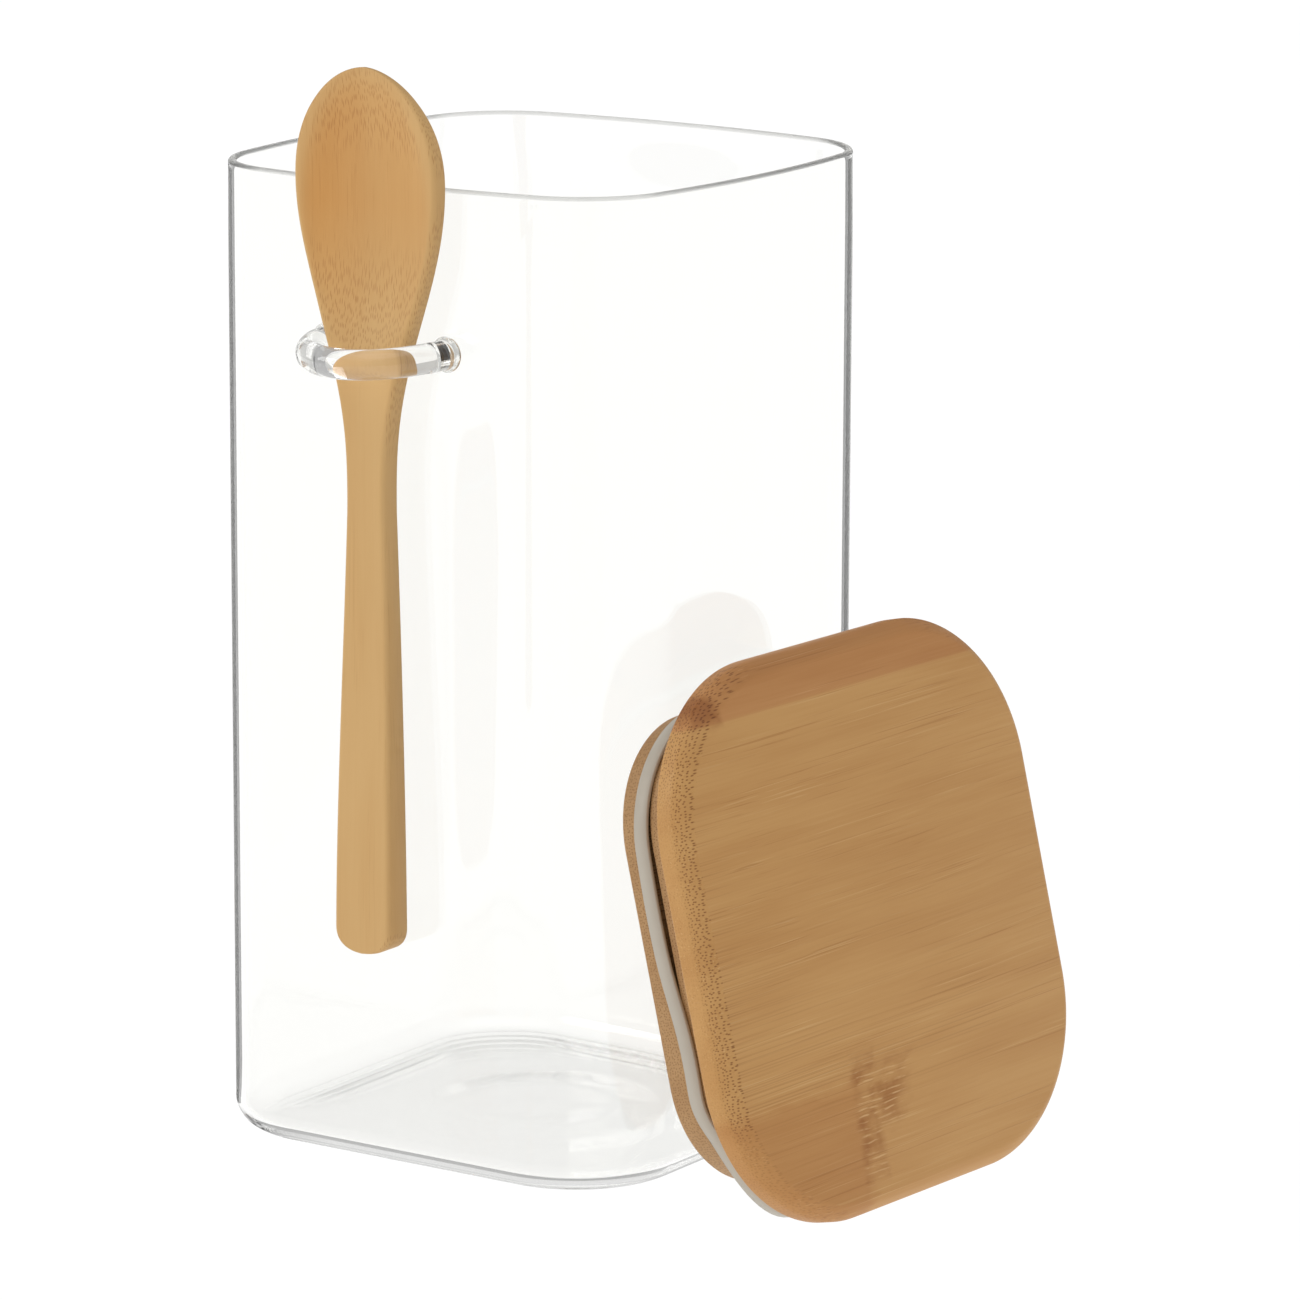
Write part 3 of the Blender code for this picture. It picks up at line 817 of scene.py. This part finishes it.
def stand_up(piece):
    """Moves a piece from the bench to its place. The place goes into its mesh."""
    deselect_all()
    piece.select_set(True)
    bpy.context.view_layer.objects.active = piece
    piece.matrix_world = lid_place
    bpy.ops.object.transform_apply(location=True, rotation=True, scale=True)


print("lid leans", round(math.degrees(LID_LEAN), 1), "degrees")

# %% Helpers for boards
BOARD_STEPS = 40
SAME_LEVEL = 0.00001


def start_board(name, half, corner, low):
    """A flat square with round corners, left in edit mode with its face selected."""
    deselect_all()
    bpy.ops.mesh.primitive_plane_add(size=2 * half, location=(0, 0, low))
    board = bpy.context.active_object
    board.name = name
    board.data.name = name
    bpy.ops.object.transform_apply(location=True, rotation=True, scale=True)
    bpy.ops.object.mode_set(mode="EDIT")
    bpy.ops.mesh.select_all(action="SELECT")
    bpy.ops.mesh.bevel(affect="VERTICES", offset=corner, segments=BOARD_STEPS, profile=0.5)
    bpy.ops.mesh.select_all(action="SELECT")
    return board


def rise(height):
    """Extrudes the selected face upwards."""
    bpy.ops.mesh.extrude_region_move(TRANSFORM_OT_translate={"value": (0, 0, height)})


def round_edges(board, height, width, steps, profile=0.5):
    """Bevels the level edges that a board in edit mode has at a height."""
    bpy.ops.mesh.select_mode(type="EDGE")
    bpy.ops.mesh.select_all(action="DESELECT")
    skin = bmesh.from_edit_mesh(board.data)
    for edge in skin.edges:
        if all(abs(vert.co.z - height) < SAME_LEVEL for vert in edge.verts):
            edge.select = True
    skin.select_flush_mode()
    bmesh.update_edit_mesh(board.data)
    bpy.ops.mesh.bevel(offset=width, segments=steps, profile=profile)


def finish_board():
    """Closes a board that is in edit mode and shades it smooth."""
    bpy.ops.mesh.select_all(action="SELECT")
    bpy.ops.mesh.normals_make_consistent(inside=False)
    bpy.ops.object.mode_set(mode="OBJECT")
    bpy.ops.object.shade_smooth_by_angle(angle=SHARP_ANGLE)


print("board helpers ready")

# %% Build the cap board
CAP_HALF = 0.0536
CAP_CORNER_RADIUS = 0.0321
CAP_THICKNESS = 0.0067
CAP_FACE_EDGE = 0.0034
CAP_FACE_PROFILE = 0.4
CAP_BACK_EDGE = 0.0006
SOFT_EDGE_STEPS = 12
SMALL_EDGE_STEPS = 4

cap = start_board("cap_board", CAP_HALF, CAP_CORNER_RADIUS, -CAP_THICKNESS)
rise(CAP_THICKNESS)
round_edges(cap, 0.0, CAP_FACE_EDGE, SOFT_EDGE_STEPS, CAP_FACE_PROFILE)
round_edges(cap, -CAP_THICKNESS, CAP_BACK_EDGE, SMALL_EDGE_STEPS)
finish_board()
print("cap:", len(cap.data.polygons), "faces")

# %% Build the plug board
PLUG_HALF = 0.0449
PLUG_CORNER_RADIUS = 0.0225
PLUG_TOP = -0.00675
PLUG_BOTTOM = -0.0225
GROOVE_TOP = -0.0153
GROOVE_WIDTH = 0.0022
GROOVE_DEPTH = 0.0030
PLUG_EDGE = 0.0007

plug = start_board("plug_board", PLUG_HALF, PLUG_CORNER_RADIUS, PLUG_BOTTOM)
groove_bottom = GROOVE_TOP - GROOVE_WIDTH
rise(groove_bottom - PLUG_BOTTOM)
rise(GROOVE_WIDTH)
rise(PLUG_TOP - GROOVE_TOP)
round_edges(plug, PLUG_BOTTOM, PLUG_EDGE, SMALL_EDGE_STEPS)
bpy.ops.mesh.select_mode(type="FACE")
bpy.ops.mesh.select_all(action="DESELECT")
skin = bmesh.from_edit_mesh(plug.data)
for face in skin.faces:
    middle = face.calc_center_median().z
    face.select = abs(middle - groove_bottom - GROOVE_WIDTH / 2) < SAME_LEVEL
bmesh.update_edit_mesh(plug.data)
bpy.ops.mesh.extrude_region_shrink_fatten(TRANSFORM_OT_shrink_fatten={"value": -GROOVE_DEPTH})
finish_board()
print("plug:", len(plug.data.polygons), "faces")

# %% [markdown]
# ## The seal
# A soft silicone band sits round the plug, with a web on its inside that fills the
# groove. In the photograph it doesn't lie true: near the low left corner it has slipped
# out of its groove, stands off the plug and rides up against the cap. The ring is a
# skin through small sections that go round the plug's outline and join up with the
# first one.

# %% Build the seal
SEAL_HALF = 0.0459
SEAL_CORNER_RADIUS = 0.0235
SEAL_TOP = -0.0149
SEAL_HEIGHT = 0.0032
SEAL_THICKNESS = 0.0009
SEAL_EDGE = 0.0002
WEB_REACH = 0.0022
WEB_TOP = -0.0154
WEB_HEIGHT = 0.0020
WEB_CLEARANCE = 0.0001
WEB_STUB = 0.0001
# Where the band rides up, and where it stands off the plug, as bumps: the height of each,
# its place round the outline and how far it spreads, in degrees.
SEAL_LIFTS = ((0.0066, -124, 28), (0.0009, -160, 24), (-0.0012, 167, 39))
SEAL_FLARES = ((0.0065, -125, 20),)


def bumps_round(bumps, angle):
    """The height of smooth bumps at an angle round the outline."""
    total = 0.0
    for height, middle, spread in bumps:
        away = (angle - middle + 180) % 360 - 180
        total += height * math.cos(math.pi / 2 * min(abs(away) / spread, 1.0)) ** 2
    return total


def seal_section(near, outward, lift):
    """One section. Its web stays level with the groove, and is short where the band is out."""
    out, web_top = -SEAL_THICKNESS, WEB_TOP - SEAL_TOP
    reach = out - WEB_STUB - WEB_REACH * (1 - min(abs(lift) / WEB_CLEARANCE, 1.0))
    corners = [
        Vector(corner) for corner in (
            (0.0, 0.0), (0.0, -SEAL_HEIGHT), (out, -SEAL_HEIGHT), (out, web_top - WEB_HEIGHT),
            (reach, web_top - WEB_HEIGHT), (reach, web_top), (out, web_top), (out, 0.0),
        )
    ]
    loop = []
    for number, corner in enumerate(corners):
        for other in (corners[number - 1], corners[(number + 1) % len(corners)]):
            side = other - corner
            x, z = corner + side.normalized() * min(SEAL_EDGE, side.length / 3)
            loop.append(near + outward * x + Vector((0, 0, SEAL_TOP + lift + z)))
    return loop


outline = [Vector((x, y, 0)) for x, y in rounded_square(SEAL_HALF, SEAL_CORNER_RADIUS, 0.0)]
sections = []
for number, near in enumerate(outline + outline[:1]):
    before = outline[(number - 1) % len(outline)]
    after = outline[(number + 1) % len(outline)]
    outward = (after - before).cross(UPWARDS).normalized()
    angle = math.degrees(math.atan2(near.y, near.x))
    off_plug, lift = bumps_round(SEAL_FLARES, angle), bumps_round(SEAL_LIFTS, angle)
    sections.append(seal_section(near + outward * off_plug, outward, lift))
seal = extruded_skin("seal_ring", sections, closed=True)
for piece, node, slot in (
    (cap, "lid_cap", "cap_bamboo"),
    (plug, "lid_plug", "plug_bamboo"),
    (seal, "lid_seal", "silicone"),
):
    stand_up(piece)
    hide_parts(node)
    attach(piece, "lid")
    low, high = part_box(node)
    own = [[f(c[i] for c in piece.bound_box) for i in range(3)] for f in (min, max)]
    print(piece.name, "frame box", [round(v, 4) for v in (*low, *high)])
    print(piece.name, "own box", [round(v, 4) for v in (*own[0], *own[1])])

# %% [markdown]
# ## Clear glass
# Borosilicate glass has no colour of its own. What shows is how it bends and mirrors the room, so
# its shader stays plain. Lamps shine through it: a shadow ray meets a clear surface instead, or
# the jar would throw a black shadow. The photograph shows the rim as an even grey line. A
# perfectly clear rim comes out partly black, because its light stays trapped in the wall, so this
# rim is given a grey tone and scatters a little. That is a stand-in, since why the real rim looks
# grey isn't known.

# %% Make the glass
CLEAR_COLOUR = screen_colour(254, 254, 252.5)
LIP_COLOUR = screen_colour(206, 206, 203)
LIP_ROUGHNESS = 0.6
LIP_TONE_RISE = LIP_HEIGHT / 4
GLASS_IOR = 1.47
WAVE_DEPTH = 0.00002
JAR_WAVES = 1 / 0.03
ROD_WAVES = 1 / 0.008


def store(piece, name, values):
    """Stores one number on each point of a piece, under a name that a material reads."""
    mark = piece.data.attributes.new(name, "FLOAT", "POINT")
    mark.data.foreach_set("value", values)


def glass_material(name, wave_scale):
    """Clear glass with slow waves in its skin, so many to the metre, with its shader."""
    material, tree, shader = new_material(name)
    waves = noise(tree, "slow waves in the glass", own_place(tree), wave_scale, 1.0)
    inputs = {"Strength": 1.0, "Distance": WAVE_DEPTH, "Height": waves.outputs[0]}
    feed(shader, {
        "Base Color": CLEAR_COLOUR,
        "Roughness": 0.0,
        "IOR": GLASS_IOR,
        "Transmission Weight": 1.0,
        "Normal": put(tree, "ShaderNodeBump", "uneven skin", inputs).outputs[0],
    })
    shadow = light_path(tree)["Is Shadow Ray"]
    clear = put(tree, "ShaderNodeBsdfTransparent", "lets lamps through")
    surface = mixed_shader(tree, "clear to lamps", shadow, shader, clear)
    feed(tree.nodes["Material Output"], {"Surface": surface})
    return material, tree, shader


rod_glass = glass_material("rod_glass", ROD_WAVES)[0]
ring.data.materials.append(rod_glass)

lip_start = JAR_HEIGHT - LIP_HEIGHT
store(jar, "lip", [
    eased(0, 1, (vert.co.z - lip_start) / LIP_TONE_RISE) for vert in jar.data.vertices
])
blown_glass, tree, shader = glass_material("blown_glass", JAR_WAVES)
lip = put(tree, "ShaderNodeAttribute", "melted rim", attribute_name="lip").outputs["Fac"]
feed(shader, {
    "Base Color": mixed_colour(tree, "rim tone", lip, CLEAR_COLOUR, LIP_COLOUR),
    "Roughness": maths(tree, "MULTIPLY", "rim cloud", lip, LIP_ROUGHNESS),
})
jar.data.materials.append(blown_glass)
print("glass on", [piece.name for piece in (jar, ring)])

# %% [markdown]
# ## Bamboo
# A bamboo board is glued from strips. Each strip is a slice of a cane wall, full of thin
# dark fibre bundles that run along it. Where the surface follows the bundles they
# show as fine streaks, and where it cuts across them they show as dots. Here the streaks
# are noise that is stretched along the grain, and the dots are cells in the plane
# across it. So the group takes a place on the piece, with X along the grain, and a mark on
# the mesh that says how steeply the surface cuts the grain.

# %% Mark where the grain is cut


def mark_cut(piece, grain):
    """Stores how much the surface faces along the grain."""
    store(piece, "cut", [abs(vert.normal.dot(grain)) for vert in piece.data.vertices])


lid_grain = lid_rotation.to_3x3() @ Vector((1, 0, 0))
mark_cut(cap, lid_grain)
mark_cut(plug, lid_grain)
mark_cut(spoon, UPWARDS)
print("marked", sum(len(piece.data.vertices) for piece in (cap, plug, spoon)), "points")

# %% [markdown]
# The hollow of the bowl is coloured a tone deeper than the rest of the spoon, most of all on its
# left wall, and less towards the neck. This is painted shade: the left wall faces away from the
# key lamp, and light alone doesn't give that here. So a second mark stores how much painted shade
# each point of the hollow gets.

# %% Mark the painted shade in the hollow of the spoon
HOLLOW_SHADE = 0.46
HOLLOW_SHADE_LEFT = 0.6
HOLLOW_SHADE_STEEP = 4
FACES_FRONT = -0.5
EDGE_LEFT_OUT = 0.9 * SPOON_EDGE

scooped = []
for vert in spoon.data.vertices:
    distance = max(spoon_top - vert.co.z, 0.0)
    across = vert.co.x - spoon_middle(distance)
    inside_edge = abs(across) < spoon_half_width(distance) - EDGE_LEFT_OUT
    depth = 0.0
    if vert.normal.y < FACES_FRONT and inside_edge:
        depth = max(hollow_depth(across, distance), 0.0) / HOLLOW_DEPTH
    # Painted shade: more on the left side of the hollow, and less towards the neck.
    tone = HOLLOW_SHADE + HOLLOW_SHADE_LEFT * max(-2 * across / BOWL_WIDTH, 0.0)
    lower_end = max(distance / HOLLOW_LENGTH - 0.5, 0.0)
    scooped.append((1 - (1 - depth) ** HOLLOW_SHADE_STEEP) * max(tone - lower_end, 0.0))
store(spoon, "scooped", scooped)
print("deepest mark", round(max(scooped), 2))

# %% [markdown]
# The group starts with the wood itself: strips that each have a tone of their own, broad
# bands and fine streaks along the grain, and thin hair lines that come in groups. Every
# pattern is noise that is stretched along the grain, in waves per metre.

# %% Build the bamboo group
WANDER_PUSH = (0.0, 0.003, 0.003)
HAIRS_ALONG = 24.0
DARK_LINE_TINT = (0.62, 0.46, 0.30, 1.0)
PALE_LINE_COLOUR = screen_colour(216, 175, 118)

bamboo, given, result = new_group(
    "bamboo",
    [
        ("Vector", "NodeSocketVector", None),
        ("Pale", "NodeSocketColor", (0.6, 0.4, 0.2, 1)),
        ("Deep", "NodeSocketColor", (0.4, 0.2, 0.1, 1)),
        ("Bundle", "NodeSocketColor", (0.2, 0.1, 0.05, 1)),
        ("Strip Width", "NodeSocketFloat", 0.022),
        ("Strip Contrast", "NodeSocketFloat", 0.3),
        ("Streaks", "NodeSocketFloat", 0.5),
        ("Dots", "NodeSocketFloat", 1.0),
        ("Dot Scale", "NodeSocketFloat", 1450.0),
        ("Cut", "NodeSocketFloat", 0.0),
        ("Fade", "NodeSocketFloat", 0.0),
    ],
    [("Color", "NodeSocketColor"), ("Height", "NodeSocketFloat"), ("Gloss", "NodeSocketFloat")],
)
wander = noise(bamboo, "grain wanders", given["Vector"], 9.0, 1.0).outputs["Color"]
centred = vector_maths(bamboo, "SUBTRACT", "centred", wander, (0.5, 0.5, 0.5))
in_wood = vector_maths(
    bamboo, "MULTIPLY_ADD", "pushed aside", centred, WANDER_PUSH, given["Vector"],
)
split = put(bamboo, "ShaderNodeSeparateXYZ", "along and across", {0: in_wood}).outputs

strips = maths(bamboo, "DIVIDE", "strips", split["Y"], given["Strip Width"])
inputs = {"W": maths(bamboo, "FLOOR", "strip number", strips)}
strip_tone = put(
    bamboo, "ShaderNodeTexWhiteNoise", "tone of each strip", inputs, noise_dimensions="1D",
).outputs[0]


def grain_noise(tree, vector, label, along, across, detail, roughness=0.5):
    """Noise stretched along the grain, in waves per metre, as its output socket."""
    waves = (along, across, across)
    stretched = vector_maths(tree, "MULTIPLY", label + ", stretched", vector, waves)
    return noise(tree, label, stretched, 1.0, detail, roughness).outputs[0]


broad = grain_noise(bamboo, in_wood, "broad bands", 16.0, 130.0, 3.0)
broad = stepped(bamboo, "bands", broad, 0.3, 0.7)
fine = grain_noise(bamboo, in_wood, "fine streaks", 40.0, 1700.0, 3.0, 0.65)
streak = maths(bamboo, "SUBTRACT", "streak", fine, 0.5)
strength = maths(bamboo, "MULTIPLY", "streak strength", given["Streaks"], 0.6)
tone = maths(bamboo, "MULTIPLY", "strip share", strip_tone, given["Strip Contrast"])
tone = maths(bamboo, "MULTIPLY_ADD", "with bands", broad, 0.5, tone)
tone = maths(bamboo, "MULTIPLY_ADD", "with streaks", streak, strength, tone, clamp=True)
colour = mixed_colour(bamboo, "wood", tone, given["Pale"], given["Deep"])

groups = grain_noise(bamboo, in_wood, "lines come in groups", 20.0, 240.0, 2.0)
groups = stepped(bamboo, "group", groups, 0.38, 0.60)
grouped = maths(bamboo, "MULTIPLY", "grouped lines", groups, given["Streaks"])


def hair_lines(kind, across, low, high, strength):
    """How much thin lines along the grain show, from 0 to 1."""
    hairs = grain_noise(bamboo, in_wood, kind + " hair lines", HAIRS_ALONG, across, 2.0)
    hairs = stepped(bamboo, kind + " hair", hairs, low, high)
    share = maths(bamboo, "MULTIPLY", kind + " line share", grouped, strength)
    return maths(bamboo, "MULTIPLY", kind + " lines", hairs, share, clamp=True)


dark_lines = hair_lines("dark", 3000.0, 0.58, 0.68, 0.36)
pale_lines = hair_lines("pale", 2600.0, 0.60, 0.70, 0.55)
colour = mixed_colour(bamboo, "dark hairs", dark_lines, colour, DARK_LINE_TINT, "MULTIPLY")
colour = mixed_colour(bamboo, "pale hairs", pale_lines, colour, PALE_LINE_COLOUR)
print("bamboo lines:", len(bamboo.nodes), "nodes")

# %% [markdown]
# Then the dots: each fibre bundle is a cell in the plane across the grain. A dot shows
# where the surface cuts the bundles, and may fade again where it cuts them squarely, as on
# a sanded end. Dots and dark lines are sunk a little, for the relief.

# %% Add the cut fibre bundles
plane = {"X": split["Y"], "Y": split["Z"]}
plane = put(bamboo, "ShaderNodeCombineXYZ", "plane across the grain", plane).outputs[0]
inputs = {"Vector": plane, "Scale": given["Dot Scale"], "Randomness": 0.7}
bundles = put(bamboo, "ShaderNodeTexVoronoi", "fibre bundles", inputs, voronoi_dimensions="2D")
edge = stepped(bamboo, "bundle edge", bundles.outputs["Distance"], 0.10, 0.34)
dot = maths(bamboo, "SUBTRACT", "bundle core", 1.0, edge)
steep = stepped(bamboo, "cut across", given["Cut"], 0.06, 0.20)
square = stepped(bamboo, "cut squarely", given["Cut"], 0.80, 0.995)
faded = maths(bamboo, "MULTIPLY", "faded", square, given["Fade"])
unfaded = maths(bamboo, "SUBTRACT", "not faded", 1.0, faded)
steep = maths(bamboo, "MULTIPLY", "dots with fade", steep, unfaded)
dots = maths(bamboo, "MULTIPLY", "dots where cut", dot, steep)
dots = maths(bamboo, "MULTIPLY", "dots that show", dots, given["Dots"], clamp=True)
height = maths(bamboo, "MULTIPLY_ADD", "pores", dots, -0.7, fine)
feed(result, {
    "Color": mixed_colour(bamboo, "dots", dots, colour, given["Bundle"]),
    "Height": maths(bamboo, "SUBTRACT", "lines sunk", height, dark_lines),
    "Gloss": maths(bamboo, "MULTIPLY_ADD", "gloss", fine, 0.2, 0.42),
})
print("bamboo group:", len(bamboo.nodes), "nodes")

# %% [markdown]
# A board also has single marks, such as a knuckle or a stain. One group draws them all: a
# slanted oblong with a ragged, soft edge, as a mask from 0 to 1.

# %% Build a group for patches on a board
patch, given, result = new_group(
    "patch",
    [
        ("Vector", "NodeSocketVector", None),
        ("Middle", "NodeSocketVector", (0, 0, 0)),
        ("Half Size", "NodeSocketVector", (0.01, 0.01, 1)),
        ("Slant", "NodeSocketFloat", 0.0),
        ("Softness", "NodeSocketFloat", 0.1),
    ],
    [("Mask", "NodeSocketFloat")],
)
moved = vector_maths(patch, "SUBTRACT", "from its middle", given["Vector"], given["Middle"])
moved = put(patch, "ShaderNodeSeparateXYZ", "along and across", {0: moved}).outputs
sides = put(patch, "ShaderNodeSeparateXYZ", "half size", {0: given["Half Size"]}).outputs
lean = maths(patch, "MULTIPLY", "lean", moved["Y"], given["Slant"])
upright_x = maths(patch, "SUBTRACT", "upright", moved["X"], lean)
shares = []
for way, value, side in (("along", upright_x, sides["X"]), ("across", moved["Y"], sides["Y"])):
    away = maths(patch, "ABSOLUTE", way, value)
    shares.append(maths(patch, "DIVIDE", "share " + way, away, side))
far_off = maths(patch, "MAXIMUM", "furthest", *shares)
softness = given["Softness"]
ragged = grain_noise(patch, given["Vector"], "ragged edge", 190.0, 420.0, 3.0)
how_ragged = maths(patch, "MULTIPLY", "how ragged", softness, 2.0)
far_off = maths(patch, "MULTIPLY_ADD", "ragged", ragged, how_ragged, far_off)
centre = maths(patch, "ADD", "middle of the edge", softness, 1.0)
inner_edge = maths(patch, "SUBTRACT", "inner edge", centre, softness)
outer_edge = maths(patch, "ADD", "outer edge", centre, softness)
outside = stepped(patch, "edge", far_off, inner_edge, outer_edge)
feed(result, {"Mask": maths(patch, "SUBTRACT", "mask", 1.0, outside)})
print("patch group:", len(patch.nodes), "nodes")

# %% A helper that dresses a piece in bamboo
GRAIN_RELIEF = 0.00005


def bamboo_material(name, place, rotation, values, cut_gain=1.0):
    """A bamboo material whose grain follows X on the bench. It is given back with its nodes."""
    material, tree, shader = new_material(name)
    inputs = {"Vector": own_place(tree), "Location": place, "Rotation": rotation}
    bench = put(
        tree, "ShaderNodeMapping", "laid along its grain", inputs, vector_type="TEXTURE",
    ).outputs[0]
    cut = put(tree, "ShaderNodeAttribute", "how the grain is cut", attribute_name="cut")
    cut = maths(tree, "MULTIPLY", "cut", cut.outputs["Fac"], cut_gain)
    wood = put(tree, "ShaderNodeGroup", "bamboo", node_tree=bamboo)
    feed(wood, {"Vector": bench, "Cut": cut, **values})
    inputs = {"Strength": 0.6, "Distance": GRAIN_RELIEF, "Height": wood.outputs["Height"]}
    feed(shader, {
        "Base Color": wood.outputs["Color"],
        "Roughness": wood.outputs["Gloss"],
        "Normal": put(tree, "ShaderNodeBump", "grain relief", inputs).outputs[0],
        "Specular IOR Level": 0.30,
    })
    return material, tree, bench, wood, shader


print("bamboo helper ready")

# %% Dress the spoon and the plug
SPOON_GRAIN_START = (RING_OFFSET, -0.05, 0.1)
SPOON_GRAIN_UPRIGHT = (0.0, -math.pi / 2, 0.0)
# The tint that the hollow is multiplied by, for painted shade.
HOLLOW_SHADE_TINT = (0.95, 0.72, 0.45, 1.0)

spoon_material, tree, _, wood, shader = bamboo_material(
    "spoon_bamboo_finish", SPOON_GRAIN_START, SPOON_GRAIN_UPRIGHT,
    {
        "Pale": screen_colour(209, 169, 112), "Deep": screen_colour(200, 156, 98),
        "Bundle": screen_colour(168, 116, 64), "Strip Width": 0.05, "Strip Contrast": 0.1,
        "Streaks": 0.5, "Dots": 0.55, "Dot Scale": 2600.0, "Fade": 0.5,
    },
    cut_gain=1.8,
)
# The hollow's painted shade: its colour is multiplied by the tint, as much as its mark says.
hollow = put(tree, "ShaderNodeAttribute", "how much painted shade", attribute_name="scooped")
share, colour = hollow.outputs["Fac"], wood.outputs["Color"]
deeper = mixed_colour(tree, "painted shade in the bowl", share, colour, HOLLOW_SHADE_TINT, "MULTIPLY")
feed(shader, {"Base Color": deeper})
spoon.data.materials.append(spoon_material)

lid_turn = lid_rotation.to_euler()
plug_material = bamboo_material(
    "plug_bamboo_finish", LID_MIDDLE, lid_turn,
    {
        "Pale": screen_colour(183, 144, 98), "Deep": screen_colour(164, 123, 79),
        "Bundle": screen_colour(122, 82, 46), "Strip Width": 0.019, "Strip Contrast": 0.4,
        "Streaks": 0.7, "Dots": 0.7, "Dot Scale": 1700.0,
    },
)[0]
plug.data.materials.append(plug_material)
print("bamboo on", [piece.name for piece in (spoon, plug)])

# %% [markdown]
# The cap has marks of its own. Its upper strip is a tone darker, with a brown spot at the
# corner, and its dots are few low down and sanded away at the far end. At the lower left
# are two brown patches in a darker stretch, crossed by short pale dashes. They are taken
# for a knuckle of the cane, where the fibres turn.

# %% Dress the cap
cap_material, tree, bench, wood, shader = bamboo_material(
    "cap_bamboo_finish", LID_MIDDLE, lid_turn,
    {
        "Pale": screen_colour(203, 155, 95), "Deep": screen_colour(188, 136, 77),
        "Bundle": screen_colour(146, 98, 54), "Strip Width": 0.0221, "Strip Contrast": 0.3,
        "Streaks": 1.0, "Dot Scale": 1700.0, "Fade": 0.85,
    },
)
place = put(tree, "ShaderNodeSeparateXYZ", "place on the board", {0: bench}).outputs
along, across = place["X"], place["Y"]
not_low = stepped(tree, "not low down", across, -0.034, -0.028)
dots = maths(tree, "MULTIPLY_ADD", "fewer dots low down", not_low, 0.7, 0.3)
far_end = stepped(tree, "far end", along, 0.020, 0.036)
sanded = maths(tree, "SUBTRACT", "sanded at the far end", 1.0, far_end)
feed(wood, {"Dots": maths(tree, "MULTIPLY", "dots", dots, sanded)})


def patch_mask(label, middle, half_size, slant, softness):
    """A mask for a patch on the cap. Its place and half size are lengths on the board."""
    inputs = {"Middle": (*middle, 0), "Half Size": (*half_size, 1), "Slant": slant}
    inputs.update({"Vector": bench, "Softness": softness})
    return put(tree, "ShaderNodeGroup", label, inputs, node_tree=patch).outputs["Mask"]


def darker(label, colour, mask, strength, tint):
    """The colour, multiplied by a tint where the mask is."""
    share = maths(tree, "MULTIPLY", label + ", share", mask, strength)
    return mixed_colour(tree, label + " darker", share, colour, tint, "MULTIPLY")


strip = stepped(tree, "upper strip", across, 0.0438, 0.0445)
stretch = patch_mask("low stretch", (-0.0365, -0.0450), (0.0185, 0.0165), 0.06, 0.12)
spot = patch_mask("corner spot", (-0.0400, 0.0478), (0.0026, 0.0032), 0.0, 0.6)
colour = darker("strip", wood.outputs["Color"], strip, 1.0, (0.93, 0.83, 0.84, 1.0))
colour = darker("stretch", colour, stretch, 0.8, (0.86, 0.75, 0.66, 1.0))
colour = darker("spot", colour, spot, 0.9, (0.62, 0.48, 0.38, 1.0))
print("cap so far:", len(tree.nodes), "nodes")

# %% Draw the knuckle on the cap
FIBRE_SPACING = 0.0012
FIBRE_COLOUR = screen_colour(226, 186, 130)

first = patch_mask("knuckle mark", (-0.01555, -0.0360), (0.0032, 0.0104), 0.062, 0.45)
second = patch_mask("mark beside it", (-0.0090, -0.0322), (0.0050, 0.0050), 0.45, 0.7)
knuckle = maths(tree, "MAXIMUM", "both knuckle marks", first, second)
blotches = grain_noise(tree, bench, "uneven brown", 150.0, 260.0, 3.0)
blotches = stepped(tree, "blotches", blotches, 0.34, 0.62)
uneven = maths(tree, "MULTIPLY_ADD", "not even", blotches, 0.75, 0.25)
brown = maths(tree, "MULTIPLY", "brown in blotches", knuckle, uneven)
colour = darker("knuckle", colour, brown, 0.95, (0.70, 0.56, 0.43, 1.0))

wander = grain_noise(tree, bench, "rows wander", 110.0, 260.0, 2.0)
wander = maths(tree, "MULTIPLY", "uneven rows", wander, 8.0)
turns = 2 * math.pi / FIBRE_SPACING
rows = maths(tree, "MULTIPLY_ADD", "rows of fibres", across, turns, wander)
fibres = stepped(tree, "fibres", maths(tree, "SINE", "row", rows), 0.35, 0.98)
ends = grain_noise(tree, bench, "short fibres", 240.0, 1100.0, 2.0)
ends = stepped(tree, "fibre ends", ends, 0.42, 0.60)
share = maths(tree, "MULTIPLY", "short fibres in rows", fibres, ends)
share = maths(tree, "MULTIPLY", "fibres in the knuckle", share, knuckle)
share = maths(tree, "MULTIPLY", "fibre share", share, 0.60)
feed(shader, {"Base Color": mixed_colour(tree, "pale fibres", share, colour, FIBRE_COLOUR)})
cap.data.materials.append(cap_material)
print("cap material:", len(tree.nodes), "nodes")

# %% [markdown]
# The seal's silicone is milky and has a satin skin. Faint clouds keep it from looking
# like painted plastic.

# %% Make the silicone
SEAL_PALE = screen_colour(188, 180, 166)
SEAL_DEEP = screen_colour(178, 169, 154)

silicone, tree, shader = new_material("silicone_finish")
clouds = noise(tree, "milky clouds", own_place(tree), 160.0, 3.0).outputs[0]
feed(shader, {
    "Base Color": mixed_colour(tree, "milky grey", clouds, SEAL_PALE, SEAL_DEEP),
    "Roughness": maths(tree, "MULTIPLY_ADD", "satin", clouds, 0.2, 0.35),
})
seal.data.materials.append(silicone)
print("silicone on", seal.name)
